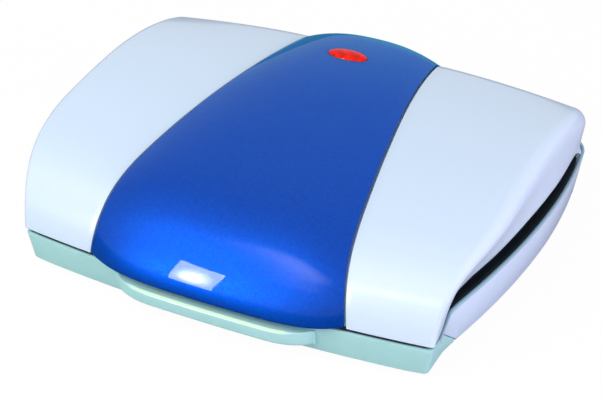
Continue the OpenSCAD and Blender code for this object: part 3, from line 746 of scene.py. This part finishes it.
class Finish(Enum):
    """Every finish of the object."""

    PEARL = Flaked(
        "pearl_white_gloss", (0.46, 0.63, 0.81), (0.53, 0.67, 0.87), 0.0, 0.34,
        coat=0.3, coat_roughness=0.1, cell=1900.0, sparkle=0.4, depth=0.003,
    )
    LACQUER = Flaked(
        "blue_metallic_lacquer", (0.0004, 0.041, 0.36), (0.0008, 0.086, 0.56), 0.65, 0.42,
        coat=0.27, coat_roughness=0.02, cell=2300.0, sparkle=0.5, depth=0.008, specular=0.05,
        edge=(0.0, 0.35, 0.9), sheen=0.38, sheen_tint=(0.06, 0.9, 0.8),
    )
    SILVER = Grained(
        "satin_silver_paint", (0.34, 0.65, 0.68), (0.31, 0.61, 0.65), 0.42, 0.08, 1900.0, 0.010,
        metallic=0.12,
    )
    # Painted shade: a darker, bluer copy of the silver paint for the rim band along the sides,
    # which stands in for the band's shaded look.
    RIM = Grained("rim_paint", (0.26, 0.44, 0.56), (0.23, 0.41, 0.53), 0.34, 0.06, 1900.0, 0.010)
    # Painted shade: near black for the bezel's rebate and lip top, where the lid's edge shades the
    # gap.
    LIP = Grained(
        "dark_lip", (0.004, 0.020, 0.026), (0.006, 0.024, 0.030), 0.32, 0.05, 1500.0, 0.01,
        specular=0.35,
    )
    # Painted highlight: a pale, bright copy of the silver paint for the handle's chamfer strip,
    # which stands in for a lamp's reflection.
    POLISH = Grained(
        "polished_edge", (0.46, 0.76, 0.60), (0.43, 0.73, 0.57), 0.22, 0.04, 1900.0, 0.004,
        specular=0.7,
    )
    SHADOW = Grained(
        "groove_shadow", (0.004, 0.012, 0.018), (0.006, 0.016, 0.022), 0.7, 0.05, 900.0, 0.02,
        specular=0.0,
    )
    NONSTICK = Grained(
        "black_nonstick_coat", (0.004, 0.009, 0.012), (0.007, 0.013, 0.017), 0.6, 0.08, 1400.0,
        0.03, specular=0.06,
    )
    TEXTURED = Grained(
        "textured_white_plastic", (0.62, 0.66, 0.74), (0.58, 0.62, 0.70), 0.5, 0.06, 1100.0, 0.06
    )
    RUBBER = Grained(
        "black_rubber", (0.02, 0.021, 0.022), (0.035, 0.035, 0.036), 0.75, 0.08, 700.0, 0.08,
        specular=0.3,
    )
    STEEL = Grained(
        "brushed_steel", (0.55, 0.56, 0.58), (0.47, 0.48, 0.5), 0.3, 0.1, 900.0, 0.01,
        metallic=1.0, stretch=(0.04, 1.0, 1.0),
    )
    SHEATH = Grained(
        "heat_tinted_sheath", (0.16, 0.14, 0.12), (0.24, 0.17, 0.11), 0.42, 0.1, 800.0, 0.03,
        metallic=0.85, drift=90.0,
    )
    REFLECTOR = Grained(
        "bright_aluminium_sheet", (0.78, 0.79, 0.8), (0.7, 0.71, 0.72), 0.22, 0.06, 500.0, 0.02,
        metallic=1.0, stretch=(1.0, 0.05, 1.0),
    )
    DARK = Grained(
        "dark_moulded_plastic", (0.018, 0.019, 0.021), (0.03, 0.031, 0.033), 0.45, 0.08, 1000.0,
        0.05,
    )
    CERAMIC = Grained(
        "cream_insulator", (0.62, 0.55, 0.42), (0.56, 0.49, 0.37), 0.6, 0.08, 900.0, 0.05
    )
    GLOW_GLASS = Grained(
        "amber_lamp_glass", (0.9, 0.38, 0.12), (0.8, 0.3, 0.1), 0.15, 0.04, 300.0, 0.02
    )
    LENS = RedLens()

    def material(self) -> Material:
        """Return this finish's material, built the first time."""
        return bpy.data.materials.get(self.value.name) or self.value.build()

    def paint(self, obj: Obj) -> None:
        """Give a whole object this finish."""
        obj.data.materials.clear()
        obj.data.materials.append(self.material())


def finish_piece(obj: Obj, finish: Finish, body: Body, slot: str, *nodes: str) -> None:
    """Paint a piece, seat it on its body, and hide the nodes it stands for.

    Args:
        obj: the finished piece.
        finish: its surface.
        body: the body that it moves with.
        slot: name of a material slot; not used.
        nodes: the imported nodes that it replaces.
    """
    finish.paint(obj)
    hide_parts(*nodes)
    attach(obj, body.value)
    LOG.info("%s: %d faces on %s", obj.name, len(obj.data.polygons), body.value)


def add_zone(obj: Obj, finish: Finish, inside: Optional[Callable[[Vector], bool]] = None) -> None:
    """Add a finish for the marked faces, or for the other faces whose centre lies in a zone."""
    obj.data.materials.append(finish.material())
    for face in obj.data.polygons:
        if inside and face.material_index == 0 and inside(face.center):
            face.material_index = len(obj.data.materials) - 1


# ---- The lid ----


@dataclass(frozen=True)
class LidWings:
    """The white moulding of the lid: two wings and the seat between them."""

    form: Form
    wall: float = 2.4
    seat: float = 2.55
    groove: float = 0.6
    edge_round: float = 0.7
    nose_low: float = 1.35
    inset: float = 1.7
    front_out: float = 0.6
    crest_run: float = 68.0
    corner_l: float = 28.0
    corner_in: float = 8.0
    seat_columns: int = 8
    fine: int = 3

    def crest_x(self, y: float) -> float:
        """Return the half width of the wings' crest."""
        f = self.form
        run = 1 - (1 - limit(y / self.crest_run)) ** 2
        turn = limit((y - f.lid_back + self.corner_l) / self.corner_l)
        corner = self.corner_in * (1 - math.sqrt(1 - turn * turn))
        return mix(f.front_hw + self.front_out, f.crest_hw, run) - corner

    @staticmethod
    def crest_r(way: float) -> float:
        """Return the radius of the wings' crest, a share of the way along the profile."""
        return mix(2.5, 8, ease(way / 0.5)) + 4 * over(way, (0.8, 0.2))

    def point(self, x: float, p: Flat, n: Flat, depth: float) -> Point:
        """Return a point over x on the profile's point p, some depth under the surface."""
        sink = self.form.droop(x, *p)
        return (x, p[0] - n[0] * depth + self.form.lid_bow(x, p[0]), p[1] - n[1] * depth - sink)

    def half_row(self, line: Line, i: int) -> list[Point]:
        """Return one row of the surface from the centre to the right rim.

        Args:
            line: the side profile.
            i: the row's place on it.

        Returns:
            Points from the seat, up its step, over the wing and its crest, and down the side.
        """
        f = self.form
        p, n, way = line.points[i], line.normals[i], line.way[i]
        r = self.crest_r(way)
        x0 = f.panel_x(way) + self.groove
        x1 = self.crest_x(p[0]) - r
        share = 0.86 * limit(p[0] / f.lid_back) + 0.14 * i / (len(line.points) - 1)
        rim_y = mix(f.edge_climb[0], f.edge_end, share)
        rim = (f.side_x(rim_y) + f.lean * f.side_rise - self.inset, rim_y, f.edge_z(rim_y))
        row = [self.point(x0 * t, p, n, self.seat) for t in steps(6)]
        for dx, depth in ((0, self.seat), (0, 0.5), (0.15, 0.15), (0.5, 0)):
            row.append(self.point(x0 + dx, p, n, depth))
        row += [self.point(mix(x0 + 0.5, x1, t), p, n, 0) for t in steps(15)[1:]]
        row.append(self.point(x1, p, n, 0))
        sink = f.droop(x1, *p)
        bow = f.lid_bow(x1, p[0])
        for turn in [math.radians(a) for a in range(9, 90, 9)]:
            out, rise = r * math.sin(turn), r * (1 - math.cos(turn))
            row.append((x1 + out, p[0] - n[0] * rise + bow, p[1] - n[1] * rise - sink))
        crest = (x1 + r, p[0] - n[0] * r, p[1] - n[1] * r - sink)
        for t in steps(7)[1:] + [1.0]:
            row.append(tuple(mix(crest[j], rim[j], t) for j in range(3)))
        return row

    def build(self) -> Obj:
        """Return the moulding as a closed shell with rounded edges."""
        line = Line.along(self.form.profile(self.nose_low, self.form.lid_back_z, self.fine))
        rows: Rows = []
        for i in range(len(line.points)):
            half = self.half_row(line, i)
            row = [(-x, y, z) for x, y, z in reversed(half[1:])] + half
            rows.append([self.form.place(p) for p in row])
        centre = len(half) - 1
        seat = range(centre - self.seat_columns, centre + self.seat_columns)
        wings = loft("lid_wings", rows, marked=seat)
        thicken(wings, self.wall)
        soften(wings, self.edge_round, 3, 60)
        smooth(wings, 40)
        return wings

    def dress(self) -> None:
        """Build the moulding and seat it."""
        wings = self.build()
        finish_piece(wings, Finish.PEARL, Body.LID, "white_shell", "lid_shell")
        add_zone(wings, Finish.SHADOW)


@dataclass(frozen=True)
class LidPanel:
    """The coloured panel that runs over the lid from the nose to the back."""

    form: Form
    thickness: float = 2.4
    play: float = 0.2
    lamp_y: float = 151.0
    lamp_l: float = 23.0
    lamp_w: float = 11.0
    edge_round: float = 0.45
    fine: int = 4
    across: int = 76

    def point(self, line: Line, i: int, t: float) -> Point:
        """Return the panel's surface at row i, a share t of its half width from the centre."""
        f = self.form
        p, n, way = line.points[i], line.normals[i], line.way[i]
        x = t * f.panel_x(way)
        power = mix(5, 2.4, ease(way / 0.5))
        h = 0.3 + f.crown(way) * (1 - abs(t) ** power)
        lift = 4 * abs(t) ** 6 * (1 - limit(way / 0.08))
        return (x, p[0] + n[0] * h + f.lid_bow(x, p[0]), p[1] + n[1] * h + lift)

    def line(self) -> Line:
        """Return the profile under the panel."""
        return Line.along(self.form.profile(-1.5, self.form.lid_back_z + 3, self.fine))

    def surface_z(self, y: float) -> float:
        """Return the height of the panel's middle at a distance from the front corners."""
        line = self.line()
        middle = [self.point(line, i, 0.0) for i in range(len(line.points))]
        ahead = [p for p in middle if p[2] > self.form.lid_h - 15]
        return min(ahead, key=lambda p: abs(p[1] - y))[2]

    def build(self) -> Obj:
        """Return the panel with its edges rounded and the lamp's opening cut."""
        f, line = self.form, self.line()
        ts = [math.sin(math.pi * (j / self.across - 0.5)) for j in range(self.across + 1)]
        rows = [[f.place(self.point(line, i, t)) for t in ts] for i in range(len(line.points))]
        panel = loft("lid_panel", rows)
        thicken(panel, self.thickness - self.play)
        deselect()
        centre = f.place((0, self.lamp_y, self.surface_z(self.lamp_y)))
        bpy.ops.mesh.primitive_cylinder_add(vertices=96, radius=1, depth=2, location=centre)
        cut(panel, (self.lamp_l / 2 * MM, self.lamp_w / 2 * MM, 6 * MM))
        soften(panel, self.edge_round, 2, 50)
        smooth(panel, 30)
        return panel

    def dress(self) -> None:
        """Build the panel and seat it."""
        finish_piece(self.build(), Finish.LACQUER, Body.LID, "blue_panel", "lid_center_panel")


@dataclass(frozen=True)
class PilotLamp:
    """The oval lens over the pilot lamp."""

    panel: LidPanel
    play: float = 0.25
    rise: float = 2.2
    lip: float = 0.2
    sink: float = 2.2
    around: int = 72

    def build(self) -> Obj:
        """Return the lens: a low dome over a straight rim."""
        y, place = self.panel.lamp_y, self.panel.form.place
        z = self.panel.surface_z(y)
        a, b = self.panel.lamp_l / 2 - self.play, self.panel.lamp_w / 2 - self.play
        rings = [(1.0, -self.sink), (1.0, self.lip)]
        for up in [math.radians(t) for t in range(12, 85, 9)]:
            rings.append((math.cos(up) ** 0.8, self.lip + (self.rise - self.lip) * math.sin(up)))
        rings.append((0.02, self.rise))
        turns = [2 * math.pi * k / self.around for k in range(self.around)]
        rows = [
            [place((a * s * math.cos(t), y + b * s * math.sin(t), z + height)) for t in turns]
            for s, height in rings
        ]
        lens = loft("pilot_lens", rows, close_columns=True)
        close_holes(lens)
        smooth(lens, 40)
        return lens

    def dress(self) -> None:
        """Build the lens and seat it."""
        finish_piece(self.build(), Finish.LENS, Body.LID, "red_lens", "lamp_lens")


# ---- The base ----


@dataclass(frozen=True)
class BaseMouldings:
    """The white wall, the bright front and rim, and the handle ledge."""

    form: Form
    wall: float = 2.4
    tongue_t: float = 1.6
    rebate: float = 0.8
    lap: float = 1.3
    play: float = 0.1
    handle_w: float = 114.0
    handle_t: float = 8.4
    handle_reach: float = 15.5
    handle_crown: float = 1.2
    handle_top: float = -4.6
    handle_end_r: float = 24.0
    handle_bite: float = 0.4
    strip_in: float = 13.4
    chamfer: float = 1.25
    end_chamfer: float = 0.4
    chamfer_fade: float = 4.5
    # Columns of the bezel's rebate and lip top, which take the painted shade.
    shaded_lip_columns: tuple[int, ...] = (0, *range(20, 30))

    @property
    def skin(self) -> float:
        """Depth of the bright moulding's inner side."""
        return self.wall + self.lap

    @property
    def strip(self) -> float:
        """Half length of the handle's chamfer strip, which takes a painted highlight."""
        return self.handle_w / 2 - self.strip_in

    def bezel_corners(self, y: float) -> list[Corner]:
        """Return the bright moulding's section at a distance behind the front corners."""
        f = self.form
        top = f.rim_z(y)
        band = top - f.band_h(y)
        front, end, tongue = y < f.seam_y - 1, y < f.seam_y + 1, y > f.tongue_y - 0.5
        inset = (self.tongue_t + 0.2 if tongue else 0.0) if front else self.wall + self.play
        if front:
            seam = f.seam_z(y) if tongue else band - 0.6
        else:
            seam = f.base_z + 1 if end else band - 2.4
        low = f.base_z if end else band - 3.4
        foot = 0.0 if front else self.wall + self.play
        rebate = mix(3.0, self.rebate, over(y, (7, 3)))
        return [
            (0, top, 0.7), (0, band, 0.25), (inset, band - 0.05, 0.1), (inset, seam, 0.1),
            (foot, seam - 0.1, 0.2), (foot, low, 0.8), (self.skin, low, 0.3),
            (self.skin, top - rebate, 0.2), (1.5, top - rebate, 0.1), (1.5, top, 0.3),
        ]

    def shell_corners(self, y: float) -> list[Corner]:
        """Return the white wall's section at a distance behind the front corners."""
        f = self.form
        top = f.rim_z(y) - f.band_h(y) - 0.2
        full = y > f.seam_y + 1
        low = f.base_z if full else f.seam_z(y) + 0.35
        thick = self.wall if full else self.tongue_t
        deep = self.skin if y > f.seam_y + 3 else thick
        shelf = top - 6 if full else mix(low, top, 0.6)
        return [
            (0, top, 0.3), (0, mix(low, top, 0.5), 0), (0, low, 1.1), (deep, low, 0.3),
            (deep, shelf, 0.2), (thick, shelf + 0.4, 0.2), (thick, top, 0.2),
        ]

    def rows(self, section: Section, stations: Sequence[int], plan: Sequence[Flat]) -> Rows:
        """Return a row of points for each station's section.

        Args:
            section: gives the corners for a y.
            stations: indexes into the plan.
            plan: the closed outline.

        Returns:
            Rows in metres.
        """
        out = []
        for k in stations:
            loop = rounded(section(plan[k][1]))
            out.append([self.form.place(self.form.base_point(plan, k, e, z)) for e, z in loop])
        return out

    def build_bezel(self) -> Obj:
        """Return the bright moulding, closed all round, its inner lip marked for painted shade."""
        plan = self.form.plan()
        rows = self.rows(self.bezel_corners, range(len(plan)), plan)
        bezel = loft("bright_bezel", rows, True, True, self.shaded_lip_columns)
        face_outwards(bezel)
        smooth(bezel, 32)
        return bezel

    def in_band(self, point: Vector) -> bool:
        """Return whether a point lies in the rim band along a side."""
        f = self.form
        _, y, z = f.housing(point)
        return y > f.tongue_y - 4 and z > f.rim_z(y) - f.band_h(y)

    def build_shell(self) -> Obj:
        """Return the white wall, open at the front, with the cord inlet cut."""
        plan = self.form.plan()
        behind = [k for k, (x, y) in enumerate(plan) if y >= self.form.tongue_y]
        right = [k for k in behind if plan[k][0] > 0.01]
        left = [k for k in behind if plan[k][0] <= 0.01]
        shell = loft("white_wall", self.rows(self.shell_corners, right + left, plan), False, True)
        close_holes(shell)
        low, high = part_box("cord_gland")
        size = (high.z - low.z) - 3 * MM
        deselect()
        bpy.ops.mesh.primitive_cube_add(size=1, location=(low + high) / 2)
        cut(shell, (size, 30 * MM, size))
        smooth(shell, 32)
        return shell

    def handle_front(self, x: float) -> float:
        """Return the handle's front edge as a y."""
        half, r = self.handle_w / 2, self.handle_end_r
        past = max(0.0, abs(x) - half + r) / r
        crown = self.handle_crown * (1 - (x / half) ** 2)
        drop = r * 0.5 * (1 - math.sqrt(max(0.0, 1 - past * past)))
        front = -(self.handle_reach - self.handle_crown + crown - drop)
        return min(self.form.bow(x) - 1, front)

    def on_chamfer(self, point: Vector) -> bool:
        """Return whether a point lies on the handle's chamfer strip, which takes a painted
        highlight.
        """
        x, y, z = self.form.housing(point)
        behind = y - self.handle_front(x)
        return abs(x) < self.strip and 0.1 < behind < 1.5 and z > self.handle_top - 1.5

    def build_handle(self) -> Obj:
        """Return the ledge with its chamfer, which takes a painted highlight, between the rounded
        ends.
        """
        f = self.form
        top, low = self.handle_top, self.handle_top - self.handle_t
        half = self.handle_w / 2 - self.handle_bite
        rows = []
        xs = [half * math.sin(math.pi * (j / 64 - 0.5)) for j in range(65)]
        xs += [s * (self.strip + d) for s in (-1, 1) for d in (-0.4, 0.0, 1.5, 3.0, 4.5)]
        for x in sorted(xs):
            y = self.handle_front(x)
            back_top = f.bow(x) - f.front_lean * top + self.handle_bite
            back_low = f.bow(x) - f.front_lean * low + self.handle_bite
            b = mix(self.chamfer, self.end_chamfer, over(abs(x), (self.strip, self.chamfer_fade)))
            b = min(b, max(0.2, (back_top - y) / 3))
            corners = [
                (back_top, top, 0.05), (y + b, top, 0.25), (y, top - b, 0.25),
                (y + 0.2, low + 1.2, 0.4), (y + 1.2, low, 0.4), (back_low, low, 0.05),
            ]
            rows.append([f.place((x, cy, cz)) for cy, cz in rounded(corners)])
        handle = loft("handle_ledge", rows, False, True)
        close_holes(handle)
        smooth(handle, 28)
        return handle

    def dress(self) -> None:
        """Build the three mouldings and seat them."""
        finish_piece(self.build_shell(), Finish.PEARL, Body.BASE, "white_shell", "base_shell")
        bezel = self.build_bezel()
        finish_piece(bezel, Finish.SILVER, Body.BASE, "silver_trim", "base_bezel")
        # The rebate and lip top take the painted shade.
        add_zone(bezel, Finish.LIP)
        # The rim band along the sides takes the painted shade.
        add_zone(bezel, Finish.RIM, self.in_band)
        handle = self.build_handle()
        finish_piece(handle, Finish.SILVER, Body.BASE, "silver_trim", "front_handle")
        # Painted highlight on the handle's chamfer strip.
        add_zone(handle, Finish.POLISH, self.on_chamfer)


@dataclass(frozen=True)
class Softened:
    """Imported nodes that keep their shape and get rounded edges."""

    finish: Finish
    body: Body
    slot: str
    width: float
    nodes: tuple[str, ...]
    segments: int = 2

    def dress(self) -> None:
        """Build the rounded copies and seat them."""
        for node in self.nodes:
            piece = node_copy(node)
            soften(piece, self.width, self.segments, 35)
            smooth(piece, 35)
            finish_piece(piece, self.finish, self.body, self.slot, node)


SOFTENED: tuple[Softened, ...] = (
    Softened(Finish.NONSTICK, Body.BASE, "nonstick_plate", 0.9, ("lower_plate",), 3),
    Softened(Finish.NONSTICK, Body.LID, "nonstick_plate", 0.9, ("upper_plate",), 3),
    Softened(Finish.PEARL, Body.BASE, "white_shell", 0.6, ("base_hinge_left", "base_hinge_right")),
    Softened(Finish.PEARL, Body.LID, "white_shell", 0.6, ("lid_hinge_left", "lid_hinge_right")),
    Softened(Finish.DARK, Body.BASE, "dark_plastic", 0.6, ("cord_gland",)),
    Softened(Finish.TEXTURED, Body.BASE, "base_plastic", 0.5, ("base_floor",)),
    Softened(Finish.TEXTURED, Body.BASE, "base_plastic", 0.4, ("rear_deck",)),
    Softened(
        Finish.RUBBER, Body.BASE, "foot_rubber", 0.5,
        ("foot_front_left", "foot_front_right", "foot_rear_left", "foot_rear_right"),
    ),
)

PAINTED: dict[Finish, tuple[str, ...]] = {
    Finish.STEEL: (
        "floor_screws", "plate_pillars", "upper_posts", "hinge_pin_left", "hinge_pin_right",
        "lower_heater_clips", "upper_heater_clips",
    ),
    Finish.SHEATH: ("lower_heater", "upper_heater"),
    Finish.REFLECTOR: ("lower_reflector", "upper_reflector"),
    Finish.CERAMIC: ("thermostat", "terminal_block", "cord_clamp", "thermal_fuse"),
    Finish.DARK: ("lamp_holder",),
    Finish.GLOW_GLASS: ("neon_lamp",),
}


# ---- The studio ----


@dataclass(frozen=True)
class Softbox:
    """A soft lamp, placed by its bearing from the front and its rise, in degrees.

    Its distance and its size are in metres and its power is in watts.
    """

    name: str
    turn: float
    rise: float
    distance: float
    width: float
    height: float
    power: float
    color: Color = (1.0, 1.0, 1.0)
    lights_matt: bool = True
    mirrored: bool = True
    fade: float = 0.0

    def fade_out(self, lamp: bpy.types.Light) -> None:
        """Let the lamp's glow fall from its middle to its edge."""
        graph = Graph(lamp)
        inputs = {0: graph.add("NewGeometry", out="Parametric"), 1: (0.5, 0.5, 0.0)}
        offset = graph.add("VectorMath", inputs, operation="SUBTRACT")
        reach = graph.add("VectorMath", {0: offset}, "Value", operation="LENGTH")
        inputs = {"Value": reach, "From Max": 0.5, "To Min": 1.0, "To Max": 1.0 - self.fade}
        level = graph.add("MapRange", inputs, interpolation_type="SMOOTHSTEP")
        graph.put(graph.nodes["Emission"].inputs["Strength"], level)

    def hang(self, target: Vector) -> None:
        """Add the lamp to the scene, facing a point."""
        lamp = bpy.data.lights.new(self.name, "AREA")
        lamp.shape = "RECTANGLE"
        lamp.size, lamp.size_y = self.width, self.height
        lamp.energy = self.power
        lamp.color = self.color
        if self.fade:
            self.fade_out(lamp)
        turn, rise = math.radians(self.turn), math.radians(self.rise)
        flat = math.cos(rise)
        away = Vector((flat * math.sin(turn), -flat * math.cos(turn), math.sin(rise)))
        obj = bpy.data.objects.new(self.name, lamp)
        obj.location = target + away * self.distance
        obj.rotation_euler = (-away).to_track_quat("-Z", "Y").to_euler()
        obj.visible_diffuse = self.lights_matt
        obj.visible_glossy = self.mirrored
        bpy.context.scene.collection.objects.link(obj)


LAMPS: tuple[Softbox, ...] = (
    Softbox("strip_light", -26, 8.4, 1.2, 0.12, 0.37, 17.0, lights_matt=False, fade=0.74),
    Softbox("glow_light", -8, 26.5, 1.2, 0.85, 0.32, 6.6, lights_matt=False, fade=1.0),
    Softbox("front_softbox", -32, 46, 1.5, 1.2, 1.0, 21.0, (1.0, 0.85, 0.76), mirrored=False),
    Softbox("side_fill", 84, 12, 1.6, 0.9, 0.5, 18.0, (1.0, 0.75, 0.86), mirrored=False),
)


@dataclass(frozen=True)
class Studio:
    """Camera, lamps, floor and background."""

    form: Form
    camera: Point = (350.2, -614.0, 512.5)
    elevation: float = 33.126
    azimuth: float = 26.343
    focal_px: float = 1737.0
    image_px: float = 602.0
    sensor: float = 36.0
    lamp_target: Point = (-5, -11, 20)
    world_level: float = 0.6
    floor_size: float = 12.0
    floor_glow: float = 0.96
    floor_white: float = 0.85
    floor_mirrored: float = 0.12

    def set_camera(self) -> None:
        """Add the camera and make it the scene's own."""
        data = bpy.data.cameras.new("camera")
        data.sensor_width = self.sensor
        data.lens = self.focal_px / self.image_px * self.sensor
        data.clip_start, data.clip_end = 0.01, 50
        obj = bpy.data.objects.new("camera", data)
        obj.location = self.form.place(self.camera)
        obj.rotation_euler = (math.radians(90 - self.elevation), 0, math.radians(self.azimuth))
        bpy.context.scene.collection.objects.link(obj)
        bpy.context.scene.camera = obj

    @staticmethod
    def seen_rays(graph: Graph, *kinds: str) -> Socket:
        """Return 1 for the camera's own rays and for some other kinds of ray.

        Args:
            graph: nodes of the world or of a material.
            kinds: outputs of the light path node that count as well.

        Returns:
            The output that holds 1 or 0.
        """
        rays = graph.add("LightPath").node.outputs
        total = rays["Is Camera Ray"]
        for kind in kinds:
            total = graph.add("Math", {0: total, 1: rays[kind]}, operation="MAXIMUM")
        return total

    def set_world(self) -> None:
        """Make a plain white surround: full white to be seen or mirrored, dimmer as a lamp."""
        world = bpy.data.worlds.new("surround")
        bpy.context.scene.world = world
        graph = Graph(world)
        seen = self.seen_rays(graph, "Is Glossy Ray", "Is Transmission Ray")
        inputs = {"Value": seen, "To Min": self.world_level, "To Max": 1.0}
        back = graph.nodes["Background"].inputs
        graph.put(back["Color"], (1, 1, 1, 1))
        graph.put(back["Strength"], graph.add("MapRange", inputs))

    def set_floor(self) -> None:
        """Lay a wide white floor that keeps a faint shadow."""
        deselect()
        bpy.ops.mesh.primitive_plane_add(size=self.floor_size, location=(0, 0, 0))
        floor = bpy.context.object
        floor.name = "studio_floor"
        material = bpy.data.materials.new("studio_white")
        graph = Graph(material)
        graph.nodes.remove(graph.nodes["Principled BSDF"])
        mirrored = graph.add("LightPath", out="Is Glossy Ray")
        inputs = {"Value": mirrored, "To Min": self.floor_white, "To Max": self.floor_mirrored}
        matt = graph.add("BsdfDiffuse", {"Color": graph.add("MapRange", inputs)})
        glow = graph.add("Emission", {"Strength": 1.0})
        seen = self.seen_rays(graph, "Is Transmission Ray")
        share = graph.add("Math", {0: seen, 1: self.floor_glow}, operation="MULTIPLY")
        blend = graph.add("MixShader", {0: share, 1: matt, 2: glow})
        graph.put(graph.nodes["Material Output"].inputs["Surface"], blend)
        floor.data.materials.append(material)

    def build(self) -> None:
        """Set up everything round the object."""
        bpy.context.scene.view_settings.view_transform = "Standard"
        self.set_camera()
        self.set_world()
        self.set_floor()
        target = self.form.place(self.lamp_target)
        for lamp in LAMPS:
            lamp.hang(target)


def main() -> None:
    """Load the frame, build every sub-assembly in order, and note the sizes."""
    logging.basicConfig(level=logging.INFO, format="%(name)s: %(message)s")
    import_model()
    handle_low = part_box("front_handle")[0]
    form = Form(mid_y=-BaseMouldings.handle_reach - handle_low.y / MM)
    Studio(form).build()
    BaseMouldings(form).dress()
    LidWings(form).dress()
    panel = LidPanel(form)
    panel.dress()
    PilotLamp(panel).dress()
    for part in SOFTENED:
        part.dress()
    for finish, nodes in PAINTED.items():
        for node in nodes:
            finish.paint(bpy.data.objects[node])


if __name__ == "__main__":
    main()
